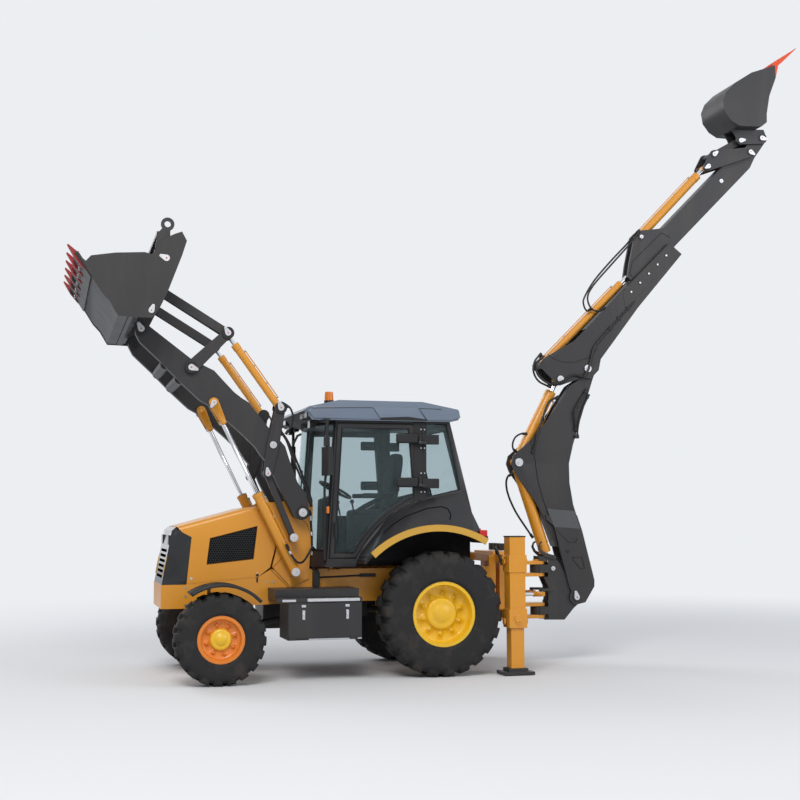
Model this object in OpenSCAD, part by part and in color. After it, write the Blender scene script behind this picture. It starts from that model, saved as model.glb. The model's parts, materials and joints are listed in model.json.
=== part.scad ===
// Backhoe loader: loader linkage and four-in-one bucket ahead, telescoping digger arm behind.
// Lengths in mm. X runs forward, Y to the machine's left, Z up from the ground.
// Side-view points are [X, Z] pairs measured from the rear axle's place on the ground.

/* [Wheels] */
// Radius of the rear tyres over their lugs
rear_tyre_r = 660; // [640:2:670]
// Width of the rear tyres
rear_tyre_w = 440; // [420:2:450]
// Radius of the rear rim flange
rear_rim_r = 344; // [330:2:350]
// Distance of the rear tyre centres from the middle
rear_track_y = 812; // [806:1:830]
// Radius of the front tyres over their lugs
front_tyre_r = 464; // [450:2:470]
// Width of the front tyres
front_tyre_w = 320; // [300:2:330]
// Radius of the front rim flange
front_rim_r = 241; // [235:1:246]
// Distance of the front tyre centres from the middle
front_track_y = 975; // [965:1:985]
// Distance between the axles
wheelbase = 2370; // [2350:2:2380]
// Depth of the tyre lugs
lug_depth = 26; // [18:1:30]
// Distance of the steering pins from the middle
kingpin_y = 745; // [735:1:755]

/* [Frame] */
// Outer face of the frame rails
rail_y = 450; // [446:1:452]
// Thickness of the frame rails
rail_t = 50; // [30:1:54]
// Underside of the frame rails
rail_bottom = 780; // [770:1:790]
// Top of the frame rails
rail_top = 1130; // [1120:1:1136]
// Outer face of the loader towers
tower_y = 470; // [466:1:472]
// Half width of the hood
hood_half_w = 456; // [452:1:457]
// Thickness of the hood's sheet
hood_t = 24; // [12:1:28]

/* [Cab] */
// Half width of the cab
cab_half_w = 770; // [764:1:776]
// Thickness of the cab walls and doors
wall_t = 46; // [36:1:50]
// Thickness of the window glass
glass_t = 8; // [5:1:12]
// Underside of the cab floor
cab_floor = 1160; // [1155:1:1170]
// Underside of the roof
roof_bottom = 2715; // [2710:1:2725]
// Half width over the rear fenders
fender_y = 1085; // [1070:1:1095]

/* [Loader] */
// Distance of the arms' centres from the middle
arm_y = 560; // [558:1:562]
// Width of the loader arms
arm_w = 100; // [94:1:102]
// Thickness of the crank plates
crank_t = 18; // [14:1:20]
// Radius of the linkage pins
pin_r = 30; // [24:1:34]
// Half width of the loader bucket over its side plates
bucket_half_w = 1160; // [1140:2:1180]
// Thickness of the bucket plates
bucket_t = 20; // [14:1:24]
// Number of bucket teeth
loader_teeth = 6; // [5:1:8]
// Radius of the lift cylinder barrels
lift_r = 55; // [50:1:57]
// Radius of the tilt cylinder barrels
tilt_r = 40; // [36:1:41]

/* [Digger] */
// Half width of the boom's box
boom_half_w = 100; // [97:1:102]
// Thickness of the boom's and the dipper's plates
plate_t = 20; // [14:1:22]
// Half width of the sliding inner dipper
stick_half_w = 82; // [76:1:84]
// Half width of the digger bucket
hoe_half_w = 280; // [260:2:300]
// Radius of the boom cylinder's barrel
boom_cyl_r = 66; // [60:1:68]
// Radius of the crowd cylinder's barrel
crowd_cyl_r = 60; // [54:1:62]
// Radius of the digger bucket cylinder's barrel
hoe_cyl_r = 50; // [44:1:52]
// Distance of the stabilizer columns from the middle
column_y = 962; // [958:1:966]
// Width of the stabilizer columns
column_w = 178; // [172:1:184]

/* [Hidden] */
$fn = 96;

// Colours
yellow = [0.87, 0.55, 0.10];
rim_yellow = [0.93, 0.68, 0.05];
rim_orange = [0.88, 0.45, 0.08];
charcoal = [0.23, 0.23, 0.24];
black = [0.10, 0.10, 0.11];
rubber = [0.07, 0.07, 0.08];
roof_blue = [0.42, 0.47, 0.54];
gold = [0.85, 0.65, 0.22];
steel = [0.72, 0.73, 0.75];
tint = [0.45, 0.62, 0.62, 0.5];
tooth_red = [0.55, 0.07, 0.08];
tooth_orange = [0.95, 0.32, 0.12];
amber = [1.0, 0.5, 0.05];
seat_grey = [0.16, 0.16, 0.17];

// Clearances: a pin in its bore, a piece at its seat, plates that pass each other
pin_gap = 0.05;
seat = 0.3;
play = 6;

// Loader pins in side view
arm_pivot = [1447, 1735];
level_base = [1542, 1470];
lift_base = [1520, 1106];
rear_crank_pin = [1774, 2452];
tilt_base = [1694, 2850];
level_top = [1828, 2148];
lift_rod_pin = [2407, 2893];
front_crank_pin = [2648, 3257];
tilt_rod_pin = [2266, 3634];
bucket_pin = [3172, 3647];
bucket_link_pin = [2965, 4057];
jaw_pin = [2967, 4304];
jaw_base = [3110, 3764];
jaw_rod_pin = [2840, 4500];
// Digger pins in side view
swing_x = -1450;
boom_foot = [-1890, 752];
boom_rod_pin = [-1611, 1086];
apex_pin = [-1200, 2314];
dipper_pin = [-2070, 3431];
dipper_a = 135.2;
crowd_rod_pin = dip(-342, 151);
extend_base = dip(-360, 405);
hoe_base = dip(1681, 634);
hoe_rod_pin = dip(2969, 656);
lever_pin = dip(3540, 401);
link_pin = dip(3137, 708);
hoe_pin = dip(3807, 414);
hoe_link_pin = dip(3562, 586);

// Layers across the loader arm: its faces, and the gap to the crank plates beside it
arm_in = arm_y - arm_w / 2;
arm_out = arm_y + arm_w / 2;
crank_half = arm_w / 2 + play + crank_t;
eye_half = arm_w / 2;
head_t = 8;
// Round bosses over the pins of the loader's linkage
boss_r = 66;
boss_t = 16;
// Hydraulic cylinders
tube_wall = 10;
gland_len = 70;
piston_len = 40;
lift_rod_r = 24;
tilt_rod_r = 22;
jaw_r = 32;
jaw_rod_r = 16;
jaw_y = bucket_half_w - 130;
boom_rod_r = 34;
crowd_rod_r = 32;
hoe_rod_r = 27;
// Each barrel ends short of its rod's pin, and each rod stops short of the barrel's own pin
lift_barrel_len = norm(lift_rod_pin - lift_base) - 1064;
lift_rod_len = norm(lift_rod_pin - lift_base) - 850;
tilt_barrel_len = norm(tilt_rod_pin - tilt_base) - 135;
tilt_rod_len = norm(tilt_rod_pin - tilt_base) - 85.5;
jaw_barrel_len = norm(jaw_rod_pin - jaw_base) - 264;
jaw_rod_len = norm(jaw_rod_pin - jaw_base) - 304;
boom_barrel_len = norm(boom_rod_pin - apex_pin) - 195;
boom_rod_len = norm(boom_rod_pin - apex_pin) - 145;
crowd_barrel_len = norm(crowd_rod_pin - apex_pin) - 160;
crowd_rod_len = norm(crowd_rod_pin - apex_pin) - 123;
hoe_barrel_len = norm(hoe_rod_pin - hoe_base) - 130;
hoe_rod_len = norm(hoe_rod_pin - hoe_base) - 73;
// Layers across the digger arm
post_out = boom_half_w - 5;
post_in = post_out - 25;
dipper_in = boom_half_w + 5;
dipper_out = dipper_in + plate_t;
ear_in = stick_half_w + play + 2;
ear_out = ear_in + plate_t;
lever_in = ear_out + play;
lever_out = lever_in + plate_t;
// Wheel details
front_dish = 86;
rear_dish = 150;
hub_bore = 46;
spindle_r = hub_bore - seat;
disc_t = 24;
axle_hub_t = 60;
// Fender ring over the rear wheel
fender_c = [76, 522];
fender_r = 1074;
fender_t = 45;
// Angle at which the gold edge begins, behind the sweep of the opening door
gold_from = 47;
well_y = 575;
// Stabilizers
column_x = -817;
column_top = 1472;
column_bottom = 500;
column_t = 14;
leg_w = column_w - 2 * column_t - 2 * seat;
pad_z = 6;
// Overall reach ahead and behind, and the middle of it
tooth_tip = [3944, 4402];
hoe_tip = [-4898, 7541];
middle_x = (tooth_tip.x + hoe_tip.x) / 2;

function heading(a, b) = atan2(b.y - a.y, b.x - a.x);
// Points of an arc about c, from angle a0 to a1
function arc(c, r, a0, a1, n = 12) = [for (i = [0:n]) let (a = a0 + (a1 - a0) * i / n)
    c + r * [cos(a), sin(a)]];
// Point of the dipper: s along it from its pivot, n out towards its cylinders
function dip(s, n) = dipper_pin + s * [cos(dipper_a), sin(dipper_a)] + n * [sin(dipper_a), -cos(dipper_a)];
// Middle and radius of the circle through three points
function centre3(a, b, c) = let (d = 2 * (a.x * (b.y - c.y) + b.x * (c.y - a.y) + c.x * (a.y - b.y)))
    [(a * a * (b.y - c.y) + b * b * (c.y - a.y) + c * c * (a.y - b.y)) / d,
     (a * a * (c.x - b.x) + b * b * (a.x - c.x) + c * c * (b.x - a.x)) / d];
// Points from a to c on the arc that passes through b
function arc3(a, b, c, n = 10) = let (m = centre3(a, b, c), a0 = heading(m, a), a1 = heading(m, c),
    d = a1 - a0 > 180 ? a1 - a0 - 360 : a1 - a0 < -180 ? a1 - a0 + 360 : a1 - a0)
    arc(m, norm(a - m), a0, a0 + d, n);

// Side drawing extruded from y0 to y1
module slab(y0, y1) translate([0, y1, 0]) rotate([90, 0, 0]) linear_extrude(y1 - y0) children();
// Round bar along Y about a side-view point
module bar(p, y0, y1, r) translate([p.x, y1, p.y]) rotate([90, 0, 0]) cylinder(r = r, h = y1 - y0);
module block(x0, x1, y0, y1, z0, z1) translate([x0, y0, z0]) cube([x1 - x0, y1 - y0, z1 - z0]);
// The children and their mirror image on the machine's right
module both() {
    children();
    mirror([0, 1, 0]) children();
}
// Flat link drawn between two eyes
module link_2d(p, q, rp, rq) {
    a = heading(p, q);
    g = acos((rp - rq) / norm(q - p));
    polygon(concat(arc(p, rp, a + g, a + 360 - g, 14), arc(q, rq, a - g, a + g, 14)));
}
module disc_2d(p, r) translate(p) circle(r);
// Cutter that rounds the two outer edges y away from the middle, under the line from p to q
module round_edge(p, q, y, r) for (s = [-1, 1]) translate([p.x, 0, p.y]) rotate([0, -heading(p, q), 0])
    rotate([90, 0, 90])
    translate([0, 0, -40]) linear_extrude(norm(q - p) + 80)
        polygon(concat([for (a = [0:22.5:90]) [s * (y - r + r * cos(a)), r * sin(a) - r]],
        [[s * (y - r), 40], [s * (y + 5), 40], [s * (y + 5), -r]]));
// Moves the children to the row's frame, whose origin lies below the middle of the overall length
module in_row() translate([-middle_x, 0, 0]) children();

// Cylinder barrel from its base pin towards aim: eye, tube, gland, and the bore its rod runs in
module barrel_at(base, aim, y, r, len, rod_r, eye_r, eye_w, gland = gland_len) translate([base.x, y, base.y])
    rotate([0, -heading(base, aim), 0]) difference() {
        union() {
            translate([eye_r * 0.6, 0, 0]) rotate([0, 90, 0]) cylinder(r = r, h = len - eye_r * 0.6);
            translate([len - gland, 0, 0]) rotate([0, 90, 0]) cylinder(r = r + 4, h = gland);
            rotate([90, 0, 0]) cylinder(r = eye_r, h = eye_w, center = true);
        }
        translate([eye_r + 12, 0, 0]) rotate([0, 90, 0]) cylinder(r = r - tube_wall,
            h = len - eye_r - 12 - gland);
        translate([len - gland - 1, 0, 0]) rotate([0, 90, 0]) cylinder(r = rod_r + seat, h = gland + 2);
        rotate([90, 0, 0]) cylinder(r = pin_r + pin_gap, h = 4 * r + 2 * eye_w, center = true);
    }
// Rod of such a cylinder: its eye carries its own pin stub, and its piston trails by rod_len
module rod_at(base, pin, y, rod_len, rod_r, bore_r, eye_r, eye_w) translate([pin.x, y, pin.y])
    rotate([0, -heading(base, pin), 0]) {
        translate([-rod_len, 0, 0]) rotate([0, 90, 0]) cylinder(r = rod_r, h = rod_len);
        translate([-rod_len, 0, 0]) rotate([0, 90, 0]) cylinder(r = bore_r - seat, h = piston_len);
        rotate([90, 0, 0]) cylinder(r = eye_r, h = eye_w, center = true);
    }
// Pin with a head beyond each of the two outermost plates
module headed_pin(p, y_mid, half, head_r = pin_r + 14, t = head_t) {
    bar(p, y_mid - half, y_mid + half, pin_r);
    bar(p, y_mid + half, y_mid + half + t, head_r);
    bar(p, y_mid - half - t, y_mid - half, head_r);
}
// Pair of plates either side of an arm's middle plane
module plate_pair(y_mid, gap_half, t) for (s = [-1, 1])
    slab(y_mid + (s > 0 ? gap_half : -gap_half - t), y_mid + (s > 0 ? gap_half + t : -gap_half)) children();

// Tyre about the Y axis, with shoulder lugs staggered from side to side
module tyre(r, w, rim_r, lugs) rotate([-90, 0, 0]) color(rubber) {
    body = r - lug_depth;
    flange = w / 2 - 14;
    round_r = w * 0.2;
    rotate_extrude() polygon(concat([[rim_r - 26 + seat, 18 - flange], [rim_r + 3, 18 - flange],
        [rim_r + 3, 6 - w / 2]], arc([body - round_r, round_r - w / 2], round_r, -88, -4, 5),
        arc([body - round_r, w / 2 - round_r], round_r, 4, 88, 5),
        [[rim_r + 3, w / 2 - 6], [rim_r + 3, flange - 18], [rim_r - 26 + seat, flange - 18]]));
    for (i = [0:lugs - 1], s = [-1, 1]) rotate([0, 0, (i + (s > 0 ? 0.5 : 0)) * 360 / lugs])
        rotate_extrude(angle = 360 / lugs * 0.62) polygon([[body - 12, s * w * 0.03], [r, s * w * 0.03],
            [r, s * w * 0.36], [r - w * 0.07, s * w * 0.47], [body - w * 0.26, s * w * 0.495],
            [body - w * 0.26, s * w * 0.4]]);
}
// Rim about the Y axis: flanged channel, dished disc, hub cap and studs, its outer side towards +Y
module rim(r, w, dish, cap_r, stud_ring, studs, paint, cap_paint) rotate([-90, 0, 0]) {
    bead = r - 26;
    flange = w / 2 - 14;
    disc = flange - dish;
    color(paint) rotate_extrude() polygon([[r, -flange], [r, 10 - flange], [bead, 16 - flange],
        [bead, flange - 16], [r, flange - 10], [r, flange], [bead - 8, flange], [bead - 14, flange - 22],
        [bead - 14, disc + disc_t + 16], [bead - 34, disc + disc_t], [hub_bore, disc + disc_t],
        [hub_bore, disc], [bead - 34, disc], [bead - 14, disc - 20], [bead - 14, 22 - flange],
        [bead - 8, -flange]]);
    color(cap_paint) rotate_extrude() polygon([[hub_bore, disc], [hub_bore, disc + 40], [0, disc + 40],
        [0, disc + 72], [cap_r * 0.5, disc + 72], [cap_r * 0.55, disc + 64], [cap_r - 14, disc + 60],
        [cap_r, disc + 46], [cap_r, disc]]);
    color(steel) for (i = [0:studs - 1]) rotate([0, 0, i * 360 / studs + 15])
        translate([stud_ring, 0, disc + disc_t - 1])
        cylinder(r = 14, h = 20);
}
module front_wheel() translate([wheelbase, front_track_y, front_tyre_r]) {
    tyre(front_tyre_r, front_tyre_w, front_rim_r, 20);
    rim(front_rim_r, front_tyre_w, front_dish, 108, 148, 8, rim_orange, rim_yellow);
}
module rear_wheel() translate([0, rear_track_y, rear_tyre_r]) {
    tyre(rear_tyre_r, rear_tyre_w, rear_rim_r, 22);
    rim(rear_rim_r, rear_tyre_w, rear_dish, 168, 214, 10, rim_yellow, rim_yellow);
}
module wheel_front_left() in_row() front_wheel();
module wheel_front_right() in_row() mirror([0, 1, 0]) front_wheel();
module wheel_rear_left() in_row() rear_wheel();
module wheel_rear_right() in_row() mirror([0, 1, 0]) rear_wheel();

// Hood hinge behind its top edge, on a cross tube between the towers
hood_hinge = [1884, 1760];
hood_tube_r = 14;
// Frame rails, loader towers with their pins, nose weight, axle cradle and belly members
tower_points = [[1310, 1050], [1310, 1842], [1620, 1856], [1790, 1842], [1858, 1790], [1690, 1389],
    [1748, 1160], [1545, 945]];
rail_nose = [[1892, 1057 - seat], [2652, 994 - seat], [2657, 985], [2700, 985], [2700, 735], [2560, 735]];
module main_frame() in_row() color(yellow) {
    both() {
        slab(rail_y - rail_t, rail_y) polygon(concat([[-700, rail_bottom], [-700, rail_top],
            [1310, rail_top], [1760, 1132]], rail_nose, [[1310, rail_bottom]]));
        difference() {
            slab(tower_y - 60, tower_y) polygon(tower_points);
            for (p = [arm_pivot, level_base, lift_base]) bar(p, tower_y - 61, tower_y + 1, pin_r);
            bar(hood_hinge, tower_y - 61, tower_y + 1, 48);
            both() screen_solid(screen_r + play, rail_bottom, 2000, tower_y + 1);
        }
        for (p = [arm_pivot, level_base, lift_base]) {
            bar(p, tower_y - 60, arm_out + play, pin_r);
            bar(p, arm_out + play, arm_out + play + head_t, pin_r + 16);
        }
        bar(lift_base, tower_y, arm_y - eye_half - 5, 56);
        bar(level_base, tower_y, arm_y - eye_half - 5, 46);
        block(-700, -660, 0, rail_y - 10, rail_bottom, rail_top);
    }
    block(1560, 1600, -tower_y + 50, tower_y - 50, 1060, 1640);
    bar(hood_hinge, 50 - tower_y, tower_y - 50, hood_tube_r);
    both() slab(tower_y - 60, hood_half_w - hood_t - 4) link_2d(hood_hinge, [1800, 1740], 26, 40);
    block(2695, 2915, -rail_y, rail_y, 735, 985);
    block(2560, 2695, -rail_y + 10, rail_y - 10, 735, 790);
    for (x = [420, 1250]) block(x, x + 80, -rail_y + 10, rail_y - 10, rail_bottom, rail_bottom + 90);
    block(860, 960, -rail_y + 10, rail_y - 10, 1000 + seat, 1090);
    for (s = [-1, 1]) block(wheelbase + s * 172 - 18, wheelbase + s * 172 + 18, -95, 95, 370, 800);
    block(wheelbase - 190, wheelbase + 190, -rail_y + 10, rail_y - 10, 760, 800);
    translate([wheelbase - 190, 0, front_tyre_r]) rotate([0, 90, 0]) cylinder(r = 42, h = 380);
    for (x = [-200, 1100], s = [-1, 1]) translate([x, s * (rail_y - 25), rail_top - 5])
        cylinder(r = 24, h = cab_floor - seat - rail_top + 5);
}
module engine_block() in_row() color(charcoal) block(1610, 2400, -230, 230, 800 + seat, 1330);
module driveline() in_row() color(black) {
    block(640, 1180, -200, 200, 600, 1000);
    translate([196, 0, 660]) rotate([0, 90, 0]) cylinder(r = 36, h = 460);
    translate([1170, 0, 642]) rotate([0, 99.67, 0]) cylinder(r = 32, h = 1010);
}
// Beam axle with a differential housing and C-shaped ends that hold the steering pins
module front_axle() in_row() color(yellow) translate([wheelbase, 0, front_tyre_r]) difference() {
    union() {
        rotate([-90, 0, 0]) rotate_extrude() polygon([[0, -kingpin_y + 80], [58, -kingpin_y + 80],
            [66, -360], [92, -200], [92, -90], [92, 90], [92, 200], [66, 360], [58, kingpin_y - 80],
            [0, kingpin_y - 80]]);
        for (s = [-1, 1]) {
            translate([-62, s > 0 ? kingpin_y - 110 : -kingpin_y + 70, -135]) cube([124, 40, 270]);
            for (z = [-135, 105]) hull() {
                translate([0, s * kingpin_y, z]) cylinder(r = 60, h = 30, $fn = 32);
                translate([-60, s > 0 ? kingpin_y - 110 : -kingpin_y + 80, z]) cube([120, 30, 30]);
            }
        }
        translate([-150, -80, -80]) cube([300, 160, 160]);
    }
    translate([-160, 0, 0]) rotate([0, 90, 0]) cylinder(r = 42 + pin_gap, h = 320);
    for (s = [-1, 1]) translate([0, s * kingpin_y, -140]) cylinder(r = 26 + pin_gap, h = 280);
}
// Steering knuckle with its pin, its wheel spindle, and the front fender it carries
module knuckle() translate([wheelbase, kingpin_y, front_tyre_r]) {
    fender_in = front_track_y - front_tyre_w / 2 - kingpin_y - 10;
    hub_end = front_track_y - kingpin_y + front_tyre_w / 2 - 14 - front_dish;
    color(yellow) {
        translate([0, 0, -135]) cylinder(r = 26, h = 270);
        translate([0, 0, -105 + seat]) cylinder(r = 62, h = 210 - 2 * seat);
        rotate([-90, 0, 0]) cylinder(r = 56, h = hub_end - 26);
        rotate([-90, 0, 0]) translate([0, 0, 70]) cylinder(r = 130, h = hub_end - 96);
        rotate([-90, 0, 0]) cylinder(r = spindle_r, h = hub_end + 36);
    }
    color(black) rotate([-90, 0, 0]) {
        translate([0, 0, fender_in]) rotate([0, 0, -137]) rotate_extrude(angle = 81)
            polygon([[546, 0], [560, 0], [560, front_tyre_w + 30], [546, front_tyre_w + 30],
                [526, front_tyre_w + 44], [526, front_tyre_w + 34]]);
        translate([70, -548, 30]) cube([36, 20, fender_in + 70]);
        translate([70, -548, 30]) cube([36, 590, 20]);
        translate([70, -60, 30]) cube([36, 100, 46]);
    }
}
module knuckle_left() in_row() knuckle();
module knuckle_right() in_row() mirror([0, 1, 0]) knuckle();
// Rear axle: housing, trumpets and hub spindles
module rear_axle() in_row() color(yellow) translate([0, 0, rear_tyre_r]) {
    hub_end = rear_track_y + rear_tyre_w / 2 - 14 - rear_dish;
    rotate([-90, 0, 0]) rotate_extrude() polygon([[0, -hub_end - 36], [spindle_r, -hub_end - 36],
        [spindle_r, -hub_end + 6], [160, -hub_end + 6], [160, -hub_end + 70], [110, -480], [100, -240],
        [190, -150], [190, 150], [100, 240], [110, 480], [160, hub_end - 70], [160, hub_end - 6],
        [spindle_r, hub_end - 6], [spindle_r, hub_end + 36], [0, hub_end + 36]]);
    for (s = [-1, 1]) translate([-110, s > 0 ? rail_y - 60 : -rail_y, 60])
        cube([220, 60, rail_bottom - rear_tyre_r - 60 - seat]);
}
// Side-shift frame with its two rails, brackets from the main frame, and the stabilizer columns
module rear_frame() in_row() color(yellow) {
    difference() {
        union() {
            for (z = [580, 1180]) block(column_x - 50, column_x + 50, -column_y + 80, column_y - 80, z,
                z + 90);
            both() {
                block(-780, -700 - seat, rail_y - rail_t, rail_y, 600, 1260);
                translate([column_x, column_y, 0]) {
                    translate([-column_w / 2, -column_w / 2, column_bottom])
                        cube([column_w, column_w, column_top - column_bottom]);
                    for (z = [[1090, 185], [500, 200]])
                        translate([-column_w / 2 - 12, -column_w / 2 - 12, z[0]])
                        cube([column_w + 24, column_w + 24, z[1]]);
                    translate([0, column_w / 2 + 10, 600]) rotate([-90, 0, 0]) cylinder(r = 44, h = 16);
                }
            }
        }
        both() translate([column_x, column_y, 0])
            translate([-column_w / 2 + column_t, -column_w / 2 + column_t, 400])
                cube([column_w - 2 * column_t, column_w - 2 * column_t, column_top - 400 - 20]);
    }
}
module stabilizer() {
    color(yellow) translate([column_x, column_y, 0]) {
        translate([-leg_w / 2, -leg_w / 2, 60]) cube([leg_w, leg_w, 900]);
    }
    color(black) translate([column_x, column_y, pad_z]) {
        translate([-170, -140, 0]) cube([340, 280, 34]);
        translate([-110, -95, 34 - 1]) cube([220, 190, 34]);
    }
}
module stabilizer_left() in_row() stabilizer();
module stabilizer_right() in_row() mirror([0, 1, 0]) stabilizer();

hinge_p = [205, cab_half_w + 60];
hinge_z = [2040, 2500];
hinge_r = 12;
// Cab shell: walls, floor, pillars and the rear fenders
door_points = concat([[900, 1252], [1192, 1252], [1108, 2690], [262, 2690], [200, 1880]],
    arc3([200, 1880], [560, 1690], [900, 1252], 8));
quarter_points = [[120, 1900], [180, 2690], [-112, 2690], [-262, 1985]];
cab_points = [[-440, cab_floor], [-440, 1570], [-150, roof_bottom], [1120, roof_bottom], [1215, 1240],
    [1235, cab_floor]];
module fender_ring(r0, r1, y0, y1, a0, a1) translate([fender_c.x, y1, fender_c.y]) rotate([90, 0, 0])
    rotate([0, 0, a0]) rotate_extrude(angle = a1 - a0) polygon([[r0, 0], [r1, 0], [r1, y1 - y0],
        [r0, y1 - y0]]);
// Outline of the bulging windscreen, a round shell that leans back with the front pillars
screen_r = 1410;
screen_foot = [1215, 1240];
screen_head = [1120, roof_bottom];
module screen_solid(r, z0, z1, half) intersection() {
    translate([screen_foot.x, 0, screen_foot.y]) rotate([0, 90 - heading(screen_foot, screen_head), 0])
        translate([-sqrt(pow(screen_r, 2) - pow(cab_half_w - wall_t, 2)), 0, -500]) cylinder(r = r, h = 2200);
    block(1090, 1500, -half, half, z0, z1);
}
module screen_shell(t, z0, z1, half) difference() {
    screen_solid(screen_r, z0, z1, half);
    screen_solid(screen_r - t, z0 - 1, z1 + 1, half + 1);
}
module cab_side() {
    difference() {
        slab(cab_half_w - wall_t, cab_half_w) polygon(cab_points);
        slab(cab_half_w - wall_t - 1, cab_half_w + 1) offset(delta = play) polygon(door_points);
        slab(cab_half_w - wall_t - 1, cab_half_w + 1) polygon(quarter_points);
        bar(fender_c, cab_half_w - wall_t - 1, cab_half_w + 1, fender_r - 24);
    }
    fender_ring(fender_r - fender_t, fender_r, well_y - 6, fender_y - 45, 41, 121);
    difference() {
        slab(well_y - 35, well_y) polygon([[-440, cab_floor], [-440, 1570], [1000, 1570], [1000, cab_floor]]);
        difference() {
            bar(fender_c, well_y - 36, well_y + 1, 3000);
            bar(fender_c, well_y - 37, well_y + 2, fender_r - 12);
        }
    }
    difference() {
        hull() {
            slab(cab_half_w - 4, cab_half_w) polygon([[870, 1262], [560, 1680], [190, 1860], [-290, 1950],
                [-440, 1570]]);
            slab(fender_y - 40, fender_y - 25) polygon(arc(fender_c, fender_r + 4, 44, 118, 10));
        }
        bar(fender_c, cab_half_w - 10, fender_y, fender_r - fender_t / 2);
        slab(cab_half_w - 10, cab_half_w + 70) offset(delta = play + 8) polygon(door_points);
    }
}
module cab_frame() in_row() {
    color(charcoal) {
        both() cab_side();
        difference() {
            block(-440, 1150, -cab_half_w + wall_t, cab_half_w - wall_t, cab_floor, cab_floor + 40);
            both() block(-441, 880, well_y, cab_half_w, cab_floor - 1, cab_floor + 41);
        }
        difference() {
            slab(-cab_half_w + wall_t, cab_half_w - wall_t)
                polygon([[-440, cab_floor], [-440, 1570], [-150, roof_bottom], [-102, roof_bottom],
                [-392, 1570], [-392, cab_floor]]);
            slab(-600, 600) polygon([[-420, 1700], [-340, 1700], [-110, 2640], [-210, 2640]]);
            both() slab(well_y, cab_half_w) polygon([[-460, cab_floor - 1], [-380, cab_floor - 1],
                [-380, 1450], [-460, 1450]]);
        }
        screen_shell(30, cab_floor, 1330, cab_half_w - wall_t);
        screen_solid(screen_r, cab_floor, cab_floor + 40, cab_half_w - wall_t);
        block(-150, 1110, -cab_half_w + wall_t, cab_half_w - wall_t, roof_bottom - 25, roof_bottom);
        screen_solid(screen_r, roof_bottom - 25, roof_bottom, cab_half_w - wall_t);
    }
    color(black) both() for (z = hinge_z) {
        translate([hinge_p.x, hinge_p.y, z - 30]) cylinder(r = 22, h = 30 - seat);
        translate([hinge_p.x, hinge_p.y, z - 20]) cylinder(r = hinge_r, h = 90);
        block(140, hinge_p.x, hinge_p.y - 20, hinge_p.y + 20, z - 30, z - seat);
        block(140, 180, cab_half_w - 1, hinge_p.y, z - 30, z - seat);
    }
    color(gold) both() fender_ring(fender_r - 62, fender_r + 8, fender_y - 25 + seat, fender_y, gold_from,
        121);
}
// Domed roof with a front visor
roof_corner_r = 120;
module cab_roof() in_row() color(roof_blue) difference() {
    slab(-cab_half_w - 50, cab_half_w + 50) polygon([[-270, 2745], [-262, 2850], [150, 2935], [1080, 2938],
        [1420, 2860], [1470, 2815], [1390, roof_bottom + seat], [-150, roof_bottom + seat]]);
    difference() {
        block(-300, 1500, -cab_half_w - 60, cab_half_w + 60, roof_bottom - 10, 3000);
        translate([-270, -cab_half_w - 50, roof_bottom - 20]) linear_extrude(400) offset(r = roof_corner_r)
            offset(delta = -roof_corner_r)
            square([1740, 2 * cab_half_w + 100]);
    }
    both() translate([0, cab_half_w + 50, 2860]) rotate([30, 0, 0]) translate([-400, -30, 0])
        cube([2000, 200, 200]);
}
module cab_glass() in_row() color(tint) {
    both() slab(cab_half_w - 30, cab_half_w - 30 + glass_t) offset(delta = -seat) polygon(quarter_points);
    screen_shell(glass_t, 1330 + seat, roof_bottom - 25 - seat, cab_half_w - wall_t - seat);
    slab(-600 + seat, 600 - seat) polygon([[-388, 1700 + seat], [-388 + glass_t, 1700 + seat],
        [-150 + glass_t, 2640 - seat], [-150, 2640 - seat]]);
}
// Door leaf with its window, glass and the two hinges at its rear edge
module door() {
    color(charcoal) difference() {
        slab(cab_half_w - wall_t, cab_half_w) polygon(door_points);
        slab(cab_half_w - wall_t - 1, cab_half_w + 1) offset(delta = -58) polygon(door_points);
    }
    color(tint) slab(cab_half_w - 30, cab_half_w - 30 + glass_t) offset(delta = -58 - seat)
        polygon(door_points);
    color(black) for (z = hinge_z) difference() {
        union() {
            translate([hinge_p.x, hinge_p.y, z]) cylinder(r = 22, h = 60);
            block(hinge_p.x + 14, hinge_p.x + 130, cab_half_w + seat, cab_half_w + 30, z, z + 60);
            block(hinge_p.x + 14, hinge_p.x + 40, cab_half_w + 25, hinge_p.y, z, z + 60);
        }
        translate([hinge_p.x, hinge_p.y, z - 1]) cylinder(r = hinge_r + pin_gap, h = 62);
    }
}
module door_left() in_row() door();
module door_right() in_row() mirror([0, 1, 0]) door();
cushion_top = 1770;
module operator_seat() in_row() color(seat_grey) {
    block(330, 800, -230, 230, 1640, cushion_top);
    slab(-220, 220) polygon([[330, cushion_top + seat], [450, cushion_top + seat], [330, 2420], [220, 2420]]);
    block(400, 720, -170, 170, cab_floor + 40 + seat, 1640);
}
module steering_console() in_row() color(black) {
    slab(-130, 130) polygon([[960, 1200 + seat], [1150, 1200 + seat], [1130, 1880], [1040, 1920],
        [980, 1860]]);
    translate([960, 0, 1990]) rotate([0, -28, 0]) rotate_extrude() translate([190, 0]) circle(15);
    translate([960, 0, 1990]) rotate([0, -28, 0]) cylinder(r = 45, h = 30, center = true);
    translate([960, 0, 1990]) rotate([0, 152, 0]) cylinder(r = 22, h = 140);
    for (a = [90, 210, 330]) translate([960, 0, 1990]) rotate([0, -28, 0]) rotate([0, 90, a])
        cylinder(r = 9, h = 185);
}
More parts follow.
